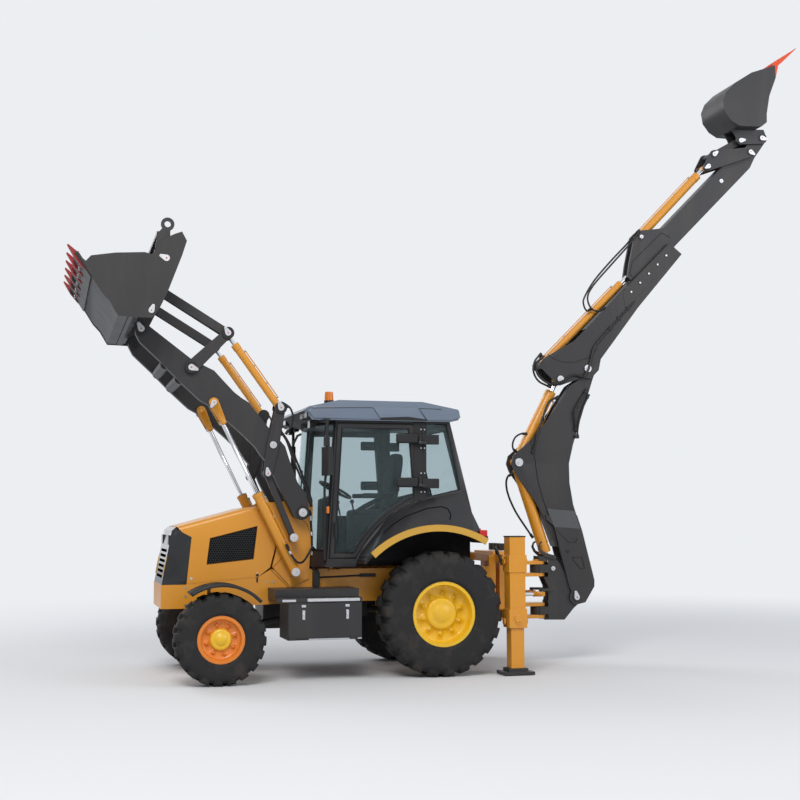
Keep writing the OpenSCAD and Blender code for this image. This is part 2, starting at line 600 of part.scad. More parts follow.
// Fuel tank on the right, toolbox with a shelf above it on the left
module fuel_tank() in_row() color(black) block(905, 1690, -1050, -rail_y - seat, 430, 940);
lid_hinge = [1056, 440];
lid_knuckles = [[950, 990], [1595, 1635]];
lid_pin_r = 5;
lid_knuckle_r = 9;
module lid_knuckle(x0, x1, y0) {
    translate([x0, lid_hinge.x, lid_hinge.y]) rotate([0, 90, 0]) cylinder(r = lid_knuckle_r, h = x1 - x0);
    block(x0, x1, y0, lid_hinge.x, lid_hinge.y - lid_knuckle_r, lid_hinge.y + lid_knuckle_r);
}
module toolbox() in_row() color(black) {
    for (k = lid_knuckles) {
        lid_knuckle(k[0], k[1], 1035);
        translate([k[1] - 1, lid_hinge.x, lid_hinge.y]) rotate([0, 90, 0]) cylinder(r = lid_pin_r, h = 41);
    }
    difference() {
        block(905, 1680, 560, 1040, 430, 815);
        block(925, 1660, 580, 1041, 450, 800);
    }
    block(900, 1790, rail_y + seat, 1050, 815, 860);
    block(900, 1790, rail_y + seat, 900, 860, 940);
    block(1000, 1600, rail_y + seat, 560, 500, 700);
}
module toolbox_lid() in_row() color(black) {
    block(907, 1678, 1040 + seat, 1056, 452, 808);
    for (k = lid_knuckles) difference() {
        union() {
            translate([k[1] + 1, lid_hinge.x, lid_hinge.y]) rotate([0, 90, 0])
                cylinder(r = lid_knuckle_r, h = 38);
            block(k[1] + 1, k[1] + 39, lid_hinge.x - 6, lid_hinge.x + lid_knuckle_r, lid_hinge.y, 470);
        }
        translate([k[1], lid_hinge.x, lid_hinge.y]) rotate([0, 90, 0])
            cylinder(r = lid_pin_r + pin_gap, h = 41);
    }
}
// Beacon, lamps and mirrors
module lamps() in_row() {
    color(amber) translate([1098, 300, 2938 + seat]) {
        translate([0, 0, 30]) cylinder(r1 = 48, r2 = 42, h = 95);
        cylinder(r = 54, h = 30);
    }
    color(steel) both() {
        block(1330, 1388, 560, 680, 2640, roof_bottom);
        block(-480, -440 - seat, cab_half_w - 30, cab_half_w + 60, 1470, 1560);
    }
    color(black) both() {
        translate([1270, 960, 2120]) rotate([0, 0, 12]) translate([-45, -85, 0]) cube([60, 170, 300]);
        block(1245, 1275, 945, 975, 2410, roof_bottom);
        block(1230, 1290, 740, 975, roof_bottom - 25, roof_bottom);
    }
}
// Tilting hood, its mesh-covered vents, and the lamp and grille wrap on its nose
hood_points = [[1769, 1153], [1892, 1057], [2651, 994], [2604, 1479], [2700, 1530], [2760, 1590],
    [2046, 1780], [1895, 1800], [1709, 1389]];
vent_points = [[2410, 1466], [1908, 1592], [1949, 1245], [2444, 1193]];
module hood() in_row() color(yellow) {
    difference() {
        hood_shell();
        bar(hood_hinge, -hood_half_w - 1, hood_half_w + 1, hood_tube_r + play);
        both() bar(hood_hinge, hood_half_w - 70, hood_half_w - hood_t, 46);
    }
    both() difference() {
        slab(280, 360) {
            disc_2d(hood_hinge, 28);
            polygon([hood_hinge + [0, -28], hood_hinge + [110, -48], hood_hinge + [110, 20],
                hood_hinge + [0, 28]]);
        }
        bar(hood_hinge, 279, 361, hood_tube_r + pin_gap);
    }
}
module hood_shell() difference() {
    slab(-hood_half_w, hood_half_w) polygon(hood_points);
    for (i = [5, 6]) round_edge(hood_points[i + 1], hood_points[i], hood_half_w, 48);
    slab(-hood_half_w + hood_t, hood_half_w - hood_t) offset(delta = -hood_t) polygon(hood_points);
    slab(-hood_half_w + hood_t, hood_half_w - hood_t) polygon([[1600, 960], [2660, 960], [2625, 1479],
        [1900, 1650], [1600, 1700]]);
    slab(-hood_half_w - 1, hood_half_w + 1) polygon(vent_points);
}
grille_half_w = 320;
module grille() in_row() color(black) {
    difference() {
        slab(-hood_half_w + 4, hood_half_w - 4) difference() {
            polygon([[2640, 985 + seat], [2910, 985 + seat], [2812, 1548], [2768, 1586], [2590, 1600]]);
            offset(delta = seat) polygon(hood_points);
            offset(delta = seat) polygon(rail_nose);
            translate([1600, 1560]) square([1165, 100]);
        }
        slab(-hood_half_w + 40, hood_half_w - 40) polygon([[2560, 960], [2866, 960], [2780, 1500],
            [2700, 1500], [2600, 1470]]);
        for (i = [0:5]) block(2740, 2930, -grille_half_w, grille_half_w, 1050 + i * 54, 1080 + i * 54);
    }
    color(steel) both() block(2800, 2842, 250, 400, 1400, 1500);
    both() slab(hood_half_w - 18, hood_half_w - 12) offset(delta = -seat) polygon(vent_points);
}

// Loader arms with their bores and the two cross tubes
arm_points = [[1387, 1839], [1380, 1735], [1447, 1655], [1540, 1690], [1628, 1864], [1735, 2075],
    [1768, 2155], [1800, 2225], [1900, 2340], [1960, 2430], [2130, 2590], [2212, 2660], [2440, 2856],
    [2550, 2915], [2748, 3093], [2974, 3320], [3182, 3513], [3228, 3600], [3228, 3680], [3172, 3709],
    [3098, 3690], [2645, 3347], [2568, 3309], [2405, 3232], [2300, 3120], [2192, 3008], [2115, 2950],
    [2033, 2900], [2002, 2858], [1828, 2645], [1712, 2518], [1641, 2440], [1599, 2311], [1506, 2058],
    [1430, 1961]];
module loader_arms() in_row() color(charcoal) {
    both() difference() {
        union() {
            slab(arm_in, arm_out) polygon(arm_points);
            slab(arm_in, arm_out) disc_2d(lift_rod_pin, 58);
        }
        for (p = [arm_pivot, rear_crank_pin, front_crank_pin, bucket_pin])
            bar(p, arm_in - 1, arm_out + 1, pin_r + pin_gap);
    }
    for (p = [[2900, 3300], [2750, 3150]]) bar(p, -arm_in - 1, arm_in + 1, 60);
}
module lift_barrels() in_row() color(yellow) both()
    barrel_at(lift_base, lift_rod_pin, arm_y, lift_r, lift_barrel_len, lift_rod_r, 50, 2 * eye_half, 40);
// Lift rods end in clevises whose cheeks straddle the arms
module lift_rods() in_row() both() translate([lift_rod_pin.x, arm_y, lift_rod_pin.y])
    rotate([0, -heading(lift_base, lift_rod_pin), 0]) {
        color(steel) translate([-lift_rod_len, 0, 0]) {
            rotate([0, 90, 0]) cylinder(r = lift_rod_r, h = lift_rod_len - 215);
            rotate([0, 90, 0]) cylinder(r = lift_r - tube_wall - seat, h = 36);
        }
        color(yellow) {
            translate([-245, -crank_half, -30]) cube([35, 2 * crank_half, 60]);
            for (s = [-1, 1]) translate([0, s > 0 ? crank_half : crank_t - crank_half, 0]) rotate([90, 0, 0])
                linear_extrude(crank_t) link_2d([0, 0], [-228, 0], 52, 32);
            for (s = [-1, 1]) translate([0, s > 0 ? crank_half + head_t : -crank_half, 0]) rotate([90, 0, 0])
                cylinder(r = 34, h = head_t);
        }
    }
module level_links() in_row() color(charcoal) both() difference() {
    union() {
        slab(arm_y - 30, arm_y + 30) link_2d(level_base, level_top, 30, 30);
        bar(level_base, arm_y - eye_half, arm_y + eye_half, 42);
        bar(level_top, arm_y - eye_half, arm_y + eye_half, 42);
    }
    bar(level_base, arm_in - 1, arm_out + 1, pin_r + pin_gap);
}
module crank_plates(y_mid) plate_pair(y_mid, crank_half - crank_t, crank_t) children();
module rear_cranks() in_row() color(charcoal) both() {
    difference() {
        crank_plates(arm_y) {
            link_2d(rear_crank_pin, tilt_base, 66, 52);
            link_2d(rear_crank_pin, level_top, 66, 48);
        }
        bar(tilt_base, arm_y - crank_half - 1, arm_y + crank_half + 1, pin_r + pin_gap);
    }
    headed_pin(rear_crank_pin, arm_y, crank_half);
    for (s = [-1, 1]) bar(level_top, arm_y + (s > 0 ? crank_half : -crank_half - head_t),
        arm_y + (s > 0 ? crank_half + head_t : -crank_half), 38);
}
module tilt_pins() in_row() color(steel) both() headed_pin(tilt_base, arm_y, crank_half, boss_r, boss_t);
module tilt_barrels() in_row() color(yellow) both()
    barrel_at(tilt_base, tilt_rod_pin, arm_y, tilt_r, tilt_barrel_len, tilt_rod_r, 46, 2 * eye_half);
module tilt_rods() in_row() color(steel) both()
    rod_at(tilt_base, tilt_rod_pin, arm_y, tilt_rod_len, tilt_rod_r, tilt_r - tube_wall, 42, 2 * 26);
module crank_pins() in_row() color(steel) both() headed_pin(front_crank_pin, arm_y, crank_half, boss_r,
    boss_t);
module front_cranks() in_row() color(charcoal) both() difference() {
    crank_plates(arm_y) link_2d(front_crank_pin, tilt_rod_pin, 70, 52);
    for (p = [front_crank_pin, tilt_rod_pin]) bar(p, arm_y - crank_half - 1, arm_y + crank_half + 1,
        pin_r + pin_gap);
}
// Short pins that join crank and link plates either side of the tilt rod's eye
link_in = 32;
module link_pins() in_row() color(steel) both() for (s = [-1, 1]) {
    bar(tilt_rod_pin, arm_y + (s > 0 ? link_in : -crank_half), arm_y + (s > 0 ? crank_half : -link_in),
        pin_r);
    bar(tilt_rod_pin, arm_y + (s > 0 ? crank_half : -crank_half - boss_t),
        arm_y + (s > 0 ? crank_half + boss_t : -crank_half), boss_r);
}
module bucket_links() in_row() color(charcoal) both() {
    difference() {
        plate_pair(arm_y, link_in, eye_half - link_in) link_2d(tilt_rod_pin, bucket_link_pin, 46, 46);
        bar(tilt_rod_pin, arm_y - eye_half - 1, arm_y + eye_half + 1, pin_r + pin_gap);
    }
    bar(bucket_link_pin, arm_y - link_in - 1, arm_y + link_in + 1, 40);
}
module bucket_pins() in_row() color(steel) both() headed_pin(bucket_pin, arm_y, crank_half, boss_r, boss_t);

// Rear part of the loader bucket: moldboard, end plates with lifting eyes, hinge ears
board_points = concat([[3300, 3712]], arc3([3270, 3716], [3100, 4000], [3010, 4560], 8), [[3060, 4575]],
    arc3([3031, 4560], [3120, 4008], [3282, 3734], 8));
ring_c = [2958, 4659];
jaw_in = bucket_half_w - bucket_t;
back_out = jaw_in - play - 2;
module bucket_back() in_row() color(charcoal) difference() {
    union() {
        slab(-back_out, back_out) polygon(board_points);
        slab(-back_out, back_out) polygon([[3230, 3712], [3292, 3690], [3330, 3700], [3300, 3730]]);
        slab(-back_out, back_out) polygon([[2990, 4545], [3065, 4545], [3065, 4580], [2990, 4580]]);
        both() {
            slab(back_out - bucket_t, back_out) {
                polygon([[3110, 3700], [3045, 3783], [2965, 3959], [2905, 4120], [2905, 4330],
                    [2930, 4400], [2930, 4640], [2990, 4640], [3060, 4560], [3110, 4200], [3150, 4000],
                    [3290, 3712]]);
                disc_2d(ring_c, 68);
            }
            bar(jaw_base, jaw_y - 40, back_out - bucket_t, pin_r);
            bar(jaw_base, jaw_y - 40 - head_t, jaw_y - 40, 40);
            bar(jaw_base, back_out, back_out + 5, 40);
            plate_pair(arm_y, crank_half - crank_t, crank_t) {
                link_2d(bucket_pin, bucket_link_pin, 62, 52);
                polygon([[3172, 3600], [3230, 3700], [3280, 3720], [3110, 4000], [3060, 4200],
                    [2965, 4105], [2940, 4010]]);
            }
            for (s = [-1, 1]) bar(bucket_link_pin, arm_y + (s > 0 ? crank_half : -crank_half - head_t),
                arm_y + (s > 0 ? crank_half + head_t : -crank_half), 38);
        }
    }
    both() {
        bar(bucket_pin, arm_y - crank_half - 1, arm_y + crank_half + 1, pin_r + pin_gap);
        bar(ring_c, back_out - bucket_t - 1, back_out + 1, 32);
        bar(jaw_pin, back_out - bucket_t - 1, back_out + 1, pin_r + pin_gap);
    }
}
// Front part that swings up: side plates, floor with its cutting edge, and the teeth
jaw_points = [[3849, 4313], [3762, 4237], [3711, 4294], [3473, 4334], [3186, 4354], [3106, 4335],
    [3068, 4392], [3045, 4450], [2960, 4520], [2880, 4560], [2814, 4585], [2764, 4492], [2810, 4341],
    [2950, 3959], [3031, 3783], [3105, 3687], [3437, 3696], [3522, 3839], [3603, 3928]];
floor_points = [[3340, 3700], [3437, 3706], [3512, 3839], [3593, 3928], [3849, 4313], [3830, 4325],
    [3577, 3941], [3495, 3850], [3424, 3724], [3340, 3720]];
module bucket_jaw() in_row() {
    color(charcoal) {
        both() {
            slab(jaw_in, bucket_half_w) polygon(jaw_points);
            bar(jaw_pin, back_out - bucket_t - head_t, jaw_in + 1, pin_r);
            bar(jaw_rod_pin, jaw_y + 30, jaw_in + 1, pin_r);
        }
        slab(-jaw_in, jaw_in) polygon(floor_points);
        slab(-jaw_in, jaw_in) polygon([[3700, 4090], [3712, 4076], [3872, 4322], [3836, 4336], [3822, 4312]]);
    }
    color(tooth_red) for (i = [0:loader_teeth - 1])
        let (y = (i / (loader_teeth - 1) - 0.5) * 2 * (jaw_in - 60))
        slab(y - 36, y + 36) polygon([[3742, 4190], [3778, 4164], [3868, 4270],
            tooth_tip, tooth_tip + [-8, 6], [3826, 4322]]);
}
module jaw_barrels() in_row() color(yellow) both()
    barrel_at(jaw_base, jaw_rod_pin, jaw_y, jaw_r, jaw_barrel_len, jaw_rod_r, 44, 2 * 34);
module jaw_rods() in_row() color(steel) both()
    rod_at(jaw_base, jaw_rod_pin, jaw_y, jaw_rod_len, jaw_rod_r, jaw_r - tube_wall, 36, 2 * 26);

// Carriage that shifts along the rear rails and holds the swing post's pins and the swing cylinders
swing_y = 150;
swing_barrel_x = [-1155, -790];
swing_cyl_r = 46;
swing_bore_r = 34;
swing_rod_r = 22;
swing_rod_len = 490;
swing_sleeve = 110;
swing_z = 799;
lug_z = [[1134, 1174], [996, 1036], [654, 694], [516, 556]];
swing_pin_r = 38;
module carriage() in_row() color(yellow) {
    difference() {
        union() {
            block(-946, column_x - 50 - seat, -330, 330, 540, 1290);
            for (z = [[1270 + seat, 1296], [554, 580 - seat]]) block(-946, -790, -330, 330, z.x, z.y);
            for (z = lug_z) translate([0, 0, z.x]) linear_extrude(z.y - z.x) {
                translate([swing_x, 0]) circle(84);
                polygon([[swing_x, -84], [swing_x + 112, -84], [-940, -190], [-940, 190],
                    [swing_x + 112, 84], [swing_x, 84]]);
            }
            for (s = [-1, 1]) translate([swing_barrel_x[0], s * swing_y, swing_z]) rotate([0, 90, 0])
                cylinder(r = swing_cyl_r, h = swing_barrel_x[1] - swing_barrel_x[0]);
        }
        for (s = [-1, 1]) translate([swing_barrel_x[0] - 1, s * swing_y, swing_z]) rotate([0, 90, 0]) {
            cylinder(r = swing_rod_r + seat, h = 42);
            translate([0, 0, 41]) cylinder(r = swing_bore_r, h = swing_barrel_x[1] - swing_barrel_x[0] - 55);
        }
    }
    for (z = [[1174, 1190], [996, 1134], [516, 694]]) translate([swing_x, 0, z.x])
        cylinder(r = z.x > 1150 ? 52 : swing_pin_r, h = z.y - z.x);
}
module swing_rod(s) translate([swing_x, s * swing_y, swing_z]) {
    color(steel) rotate([0, 90, 0]) translate([0, 0, 1]) cylinder(r = swing_rod_r, h = swing_rod_len - 1);
    color(yellow) {
        rotate([0, 90, 0]) translate([0, 0, 1]) cylinder(r = swing_rod_r + 8, h = swing_sleeve);
        translate([0, 0, -24]) cylinder(r = 34, h = 48);
    }
}
module swing_rod_left() in_row() swing_rod(1);
module swing_rod_right() in_row() swing_rod(-1);
post_points = [[-1440, 1230], [-1619, 1210], [-1679, 1166], [-1770, 1000], [-1818, 860], [-1890, 838],
    [-1970, 780], [-1970, 730], [-1930, 680], [-1864, 627], [-1746, 494], [-1500, 499], [-1500, 560],
    [-1440, 560], [-1440, 650], [-1520, 650], [-1561, 733], [-1549, 882], [-1480, 1036], [-1440, 1040]];
module swing_post() in_row() color(charcoal) difference() {
    union() {
        plate_pair(0, post_in, post_out - post_in) polygon(post_points);
        for (z = [[1040, 1130], [560, 650]]) translate([swing_x, 0, z.x]) cylinder(r = 86, h = z.y - z.x);
        block(-1800, -1740, -post_in - 1, post_in + 1, 560, 640);
        translate([0, 0, swing_z + 32]) linear_extrude(28) for (s = [-1, 1]) hull() {
            translate([swing_x, s * swing_y]) circle(38, $fn = 32);
            translate([-1610, s * 80]) circle(15, $fn = 32);
        }
        for (s = [-1, 1]) {
            bar(boom_rod_pin, s > 0 ? post_out : -post_out - 5, s > 0 ? post_out + 4 : -post_out, 44);
            bar(boom_rod_pin, s > 0 ? 50 : -post_in - 1, s > 0 ? post_in + 1 : -50, 42);
        }
        bar(boom_foot, -boom_half_w - plate_t - 3, boom_half_w + plate_t + 3, pin_r);
        for (s = [-1, 1]) bar(boom_foot, s > 0 ? boom_half_w + plate_t + 3
            : -boom_half_w - plate_t - 3 - head_t,
            s > 0 ? boom_half_w + plate_t + 3 + head_t : -boom_half_w - plate_t - 3, 46);
    }
    for (z = [1130, 990, 648, 510]) translate([swing_x, 0, z]) cylinder(r = 136, h = 50);
    for (z = [1040, 560]) translate([swing_x, 0, z - 1]) cylinder(r = swing_pin_r + pin_gap, h = 92);
}
boom_front = [[-1856, 3228], [-1679, 2966], [-1504, 2746], [-1375, 2596], [-1133, 2392], [-1110, 2300],
    [-1145, 2207], [-1383, 1877], [-1524, 1654], [-1620, 1579]];
boom_back = [[-1973, 1516], [-1927, 1654], [-1871, 1825], [-1829, 2079], [-1825, 2308], [-1878, 2524],
    [-1968, 2796], [-2074, 3110], [-2149, 3331]];
head_arc = arc(dipper_pin, 118, 220, -60, 12);
module boom() in_row() color(charcoal) difference() {
    union() {
        plate_pair(0, boom_half_w - plate_t, plate_t) {
            polygon(concat(boom_front, boom_back, head_arc));
            disc_2d(apex_pin, 84);
        }
        slab(-boom_half_w + plate_t - 1, boom_half_w - plate_t + 1)
            polygon(concat([[-1870, 3220], [-1695, 2956], [-1550, 2718], [-1445, 2550], [-1400, 2420],
            [-1360, 2300], [-1368, 2120], [-1450, 1877], [-1530, 1654], [-1650, 1340], [-2015, 1340]],
            boom_back, head_arc));
        plate_pair(0, boom_half_w - 1, plate_t + 1) {
            polygon([[-1524, 1700], [-1524, 1654], [-1620, 1579], [-1800, 880], [-1890, 667], [-2000, 690],
                [-2116, 873], [-2117, 948], [-1973, 1516], [-1910, 1700]]);
            disc_2d(boom_foot, 85);
        }
        bar(apex_pin, -boom_half_w, boom_half_w, pin_r);
        for (s = [-1, 1]) bar(apex_pin, s > 0 ? boom_half_w : -boom_half_w - head_t,
            s > 0 ? boom_half_w + head_t : -boom_half_w, 46);
    }
    bar(dipper_pin, -boom_half_w - 1, boom_half_w + 1, pin_r + pin_gap);
    bar(boom_foot, -boom_half_w - plate_t - 1, boom_half_w + plate_t + 1, pin_r + pin_gap);
}
// Barrels that share the boom's apex pin, side by side at their eyes
module apex_barrel(aim, side, r, len, rod_r) translate([apex_pin.x, 0, apex_pin.y])
    rotate([0, -heading(apex_pin, aim), 0])
    difference() {
        union() {
            translate([74, 0, 0]) rotate([0, 90, 0]) cylinder(r = r, h = len - 74);
            translate([len - gland_len, 0, 0]) rotate([0, 90, 0]) cylinder(r = r + 4, h = gland_len);
            translate([0, side * 37, 0]) rotate([90, 0, 0]) cylinder(r = 52, h = 66, center = true);
            translate([0, side > 0 ? 4 : -70, -36]) cube([100, 66, 72]);
        }
        translate([104, 0, 0]) rotate([0, 90, 0]) cylinder(r = r - tube_wall, h = len - 104 - gland_len);
        translate([len - gland_len - 1, 0, 0]) rotate([0, 90, 0])
            cylinder(r = rod_r + seat, h = gland_len + 2);
        rotate([90, 0, 0]) cylinder(r = pin_r + pin_gap, h = 300, center = true);
    }
module boom_barrel() in_row() color(yellow) apex_barrel(boom_rod_pin, -1, boom_cyl_r, boom_barrel_len,
    boom_rod_r);
module boom_rod() in_row() color(steel)
    rod_at(apex_pin, boom_rod_pin, 0, boom_rod_len, boom_rod_r, boom_cyl_r - tube_wall, 46, 2 * 44);
module crowd_barrel() in_row() color(yellow) apex_barrel(crowd_rod_pin, 1, crowd_cyl_r, crowd_barrel_len,
    crowd_rod_r);
module crowd_rod() in_row() color(steel)
    rod_at(apex_pin, crowd_rod_pin, 0, crowd_rod_len, crowd_rod_r, crowd_cyl_r - tube_wall, 46, 2 * 44);

// Outer dipper: two side plates on a box rail, with the extension cylinder's barrel on top
module along_dipper() translate([dipper_pin.x, 0, dipper_pin.y]) rotate([0, -dipper_a, 0]) children();
function dips(points) = [for (q = points) dip(q.x, q.y)];
module dipper_outer() in_row() {
    color(charcoal) {
        plate_pair(0, dipper_in, plate_t) {
            polygon(dips([[-420, 400], [-400, 460], [-300, 462], [120, 345], [1882, 341], [1908, 133],
                [1009, 68], [201, -37], [90, -110], [-60, -110], [-130, -30], [-400, 100], [-410, 180]]));
            disc_2d(crowd_rod_pin, 60);
        }
        slab(-dipper_in - 1, dipper_in + 1) polygon(dips([[420, 8], [1009, 68], [1905, 133],
            [1905, 254 - seat], [420, 254 - seat]]));
        bar(dipper_pin, -dipper_out, dipper_out, pin_r);
        for (s = [-1, 1]) {
            bar(dipper_pin, s > 0 ? dipper_out : -dipper_out - head_t,
                s > 0 ? dipper_out + head_t : -dipper_out, 50);
            bar(crowd_rod_pin, s > 0 ? dipper_out : -dipper_out - head_t,
                s > 0 ? dipper_out + head_t : -dipper_out, 44);
            bar(crowd_rod_pin, s > 0 ? 50 : -dipper_in - 1, s > 0 ? dipper_in + 1 : -50, 44);
        }
        bar(extend_base, -dipper_out - 2, dipper_out + 2, 40);
        for (s = [-1, 1]) slab(s > 0 ? stick_half_w + seat : -dipper_in - 1,
            s > 0 ? dipper_in + 1 : -stick_half_w - seat)
            polygon(dips([[1040, 300], [1860, 300], [1860, 336], [1040, 336]]));
    }
    color(yellow) translate([extend_base.x, 0, extend_base.y]) rotate([0, -dipper_a, 0]) difference() {
        translate([20, 0, 0]) rotate([0, 90, 0]) cylinder(r = 44, h = 1440);
        translate([60, 0, 0]) rotate([0, 90, 0]) cylinder(r = 34, h = 1380);
        translate([1400, 0, 0]) rotate([0, 90, 0]) cylinder(r = 26 + seat, h = 80);
    }
}
// Inner dipper that slides out, with its nose and the bucket cylinder's bracket
module dipper_inner() in_row() {
    color(charcoal) difference() {
        union() {
            slab(-stick_half_w, stick_half_w) polygon(dips([[350, 254], [2900, 254], [3422, 254],
                [3560, 300], [3800, 337], [3884, 414], [3860, 470], [3780, 488], [3540, 478], [3300, 519],
                [1960, 515], [1960, 336], [350, 336]]));
            for (s = [-1, 1]) slab(s > 0 ? 50 : -stick_half_w, s > 0 ? stick_half_w : -50)
                polygon(dips([[1500, 336], [1193, 356], [1193, 414], [1326, 511], [1624, 700], [1720, 700],
                    [1975, 515], [1975, 336]]));
            slab(-stick_half_w, stick_half_w) polygon(dips([[1193, 336], [1200, 350], [1975, 350],
                [1975, 336]]));
            bar(hoe_base, -stick_half_w, stick_half_w, pin_r);
            for (s = [-1, 1]) bar(hoe_base, s > 0 ? stick_half_w : -stick_half_w - head_t,
                s > 0 ? stick_half_w + head_t : -stick_half_w, 42);
        }
        for (p = [lever_pin, hoe_pin]) bar(p, -stick_half_w - 1, stick_half_w + 1, pin_r + pin_gap);
    }
    color(steel) along_dipper() translate([-180, 0, -405]) rotate([0, 90, 0]) cylinder(r = 26, h = 1400);
}
module hoe_barrel() in_row() color(yellow) barrel_at(hoe_base, hoe_rod_pin, 0, hoe_cyl_r, hoe_barrel_len,
    hoe_rod_r, 48, 2 * 44);
// Eyes that pass each other while the lever turns
hoe_rod_eye_r = 33;
link_eye_r = 35;
module hoe_rod() in_row() color(steel)
    rod_at(hoe_base, hoe_rod_pin, 0, hoe_rod_len, hoe_rod_r, hoe_cyl_r - tube_wall, hoe_rod_eye_r, 2 * 60);
module hoe_lever() in_row() color(charcoal) {
    difference() {
        plate_pair(0, lever_in, lever_out - lever_in) {
            link_2d(lever_pin, hoe_rod_pin, 58, 54);
            link_2d(lever_pin, link_pin, 58, 54);
            link_2d(link_pin, hoe_rod_pin, 54, 54);
        }
        bar(link_pin, -lever_out - 1, lever_out + 1, pin_r + pin_gap);
    }
    headed_pin(lever_pin, 0, lever_out);
    for (s = [-1, 1]) {
        bar(hoe_rod_pin, s > 0 ? lever_out : -lever_out - head_t, s > 0 ? lever_out + head_t : -lever_out,
            42);
        bar(hoe_rod_pin, s > 0 ? 66 : -lever_in - 1, s > 0 ? lever_in + 1 : -66, 44);
    }
}
module hoe_link() in_row() color(charcoal) {
    slab(-45, 45) link_2d(link_pin, hoe_link_pin, link_eye_r, 42);
    bar(link_pin, 4 - lever_in, lever_in - 4, link_eye_r - 1);
    bar(hoe_link_pin, 2 - ear_in, ear_in - 2, 44);
    headed_pin(link_pin, 0, lever_out);
}
hoe_back = [[-4590, 7300], [-4485, 7260], [-4257, 7175], [-4031, 7029], [-3904, 6905], [-3853, 6786],
    [-3875, 6652], [-3958, 6547], [-4067, 6487], [-4204, 6487]];
hoe_side = concat([[-4651, 7357]], hoe_back, [[-4380, 6500], [-4455, 6560], [-4457, 6667], [-4501, 6900],
    [-4596, 7137]]);
module hoe_bucket() in_row() {
    color(charcoal) {
        for (s = [-1, 1]) slab(s > 0 ? hoe_half_w - 20 : -hoe_half_w, s > 0 ? hoe_half_w : 20 - hoe_half_w)
            polygon(hoe_side);
        difference() {
            slab(-hoe_half_w, hoe_half_w) polygon(hoe_side);
            slab(-hoe_half_w + 20, hoe_half_w - 20) offset(delta = -22) polygon(hoe_side);
            slab(-hoe_half_w + 20, hoe_half_w - 20) polygon([[-4700, 7330], [-4570, 7290], [-4460, 7100],
                [-4390, 6900], [-4360, 6660], [-4400, 6530], [-4600, 6480]]);
        }
        plate_pair(0, ear_in, plate_t) {
            polygon([hoe_pin + [-70, 0], hoe_pin + [-30, 110], [-4380, 6510], [-4204, 6500], [-4060, 6495],
                [-4120, 6400], hoe_link_pin + [40, -35], hoe_link_pin + [0, -50], hoe_pin + [0, -70]]);
            disc_2d(hoe_pin, 72);
            disc_2d(hoe_link_pin, 52);
        }
        headed_pin(hoe_pin, 0, ear_out);
        for (s = [-1, 1]) bar(hoe_link_pin, s > 0 ? ear_out : -ear_out - 5, s > 0 ? ear_out + 5 : -ear_out,
            38);
    }
    color(tooth_orange) for (i = [-2:2]) let (y = i * (hoe_half_w - 36) / 2)
        slab(y - 32, y + 32) polygon([[-4590, 7262], [-4560, 7320], [-4640, 7372], hoe_tip + [5, 7],
            hoe_tip, [-4690, 7345]]);
}

main_frame();
engine_block();
driveline();
front_axle();
rear_axle();
rear_frame();
cab_frame();
cab_roof();
cab_glass();
operator_seat();
steering_console();
fuel_tank();
toolbox();
toolbox_lid();
lamps();
hood();
grille();
door_left();
door_right();
knuckle_left();
knuckle_right();
wheel_front_left();
wheel_front_right();
wheel_rear_left();
wheel_rear_right();
stabilizer_left();
stabilizer_right();
loader_arms();
lift_barrels();
lift_rods();
level_links();
rear_cranks();
tilt_pins();
tilt_barrels();
tilt_rods();
crank_pins();
front_cranks();
link_pins();
bucket_links();
bucket_pins();
bucket_back();
bucket_jaw();
jaw_barrels();
jaw_rods();
carriage();
swing_rod_left();
swing_rod_right();
swing_post();
boom();
boom_barrel();
boom_rod();
crowd_barrel();
crowd_rod();
dipper_outer();
dipper_inner();
hoe_barrel();
hoe_rod();
hoe_lever();
hoe_link();
hoe_bucket();
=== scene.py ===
import bpy
import bmesh
import json
import math
from mathutils import Matrix, Vector
from mathutils.bvhtree import BVHTree

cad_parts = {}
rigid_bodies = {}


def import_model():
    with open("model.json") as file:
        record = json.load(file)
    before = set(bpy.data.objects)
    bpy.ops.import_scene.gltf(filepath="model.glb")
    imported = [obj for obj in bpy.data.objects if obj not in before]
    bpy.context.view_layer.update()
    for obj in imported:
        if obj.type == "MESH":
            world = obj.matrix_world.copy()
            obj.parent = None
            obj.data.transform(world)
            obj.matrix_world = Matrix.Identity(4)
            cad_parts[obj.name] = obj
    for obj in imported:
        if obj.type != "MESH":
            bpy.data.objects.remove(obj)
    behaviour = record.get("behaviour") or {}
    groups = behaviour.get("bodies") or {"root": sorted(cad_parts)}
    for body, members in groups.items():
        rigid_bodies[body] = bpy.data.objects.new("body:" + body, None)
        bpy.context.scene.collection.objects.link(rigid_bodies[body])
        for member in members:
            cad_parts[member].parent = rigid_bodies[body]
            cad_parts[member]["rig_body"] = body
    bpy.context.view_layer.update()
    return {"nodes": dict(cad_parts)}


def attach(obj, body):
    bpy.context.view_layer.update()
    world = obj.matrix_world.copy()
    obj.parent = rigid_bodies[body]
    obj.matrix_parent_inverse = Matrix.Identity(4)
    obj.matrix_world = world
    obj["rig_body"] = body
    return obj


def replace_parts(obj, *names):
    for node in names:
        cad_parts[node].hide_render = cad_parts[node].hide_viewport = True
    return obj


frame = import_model()

# The rear axle stands this far in front of the row frame's origin, in metres
REAR_AXLE_X = 0.477
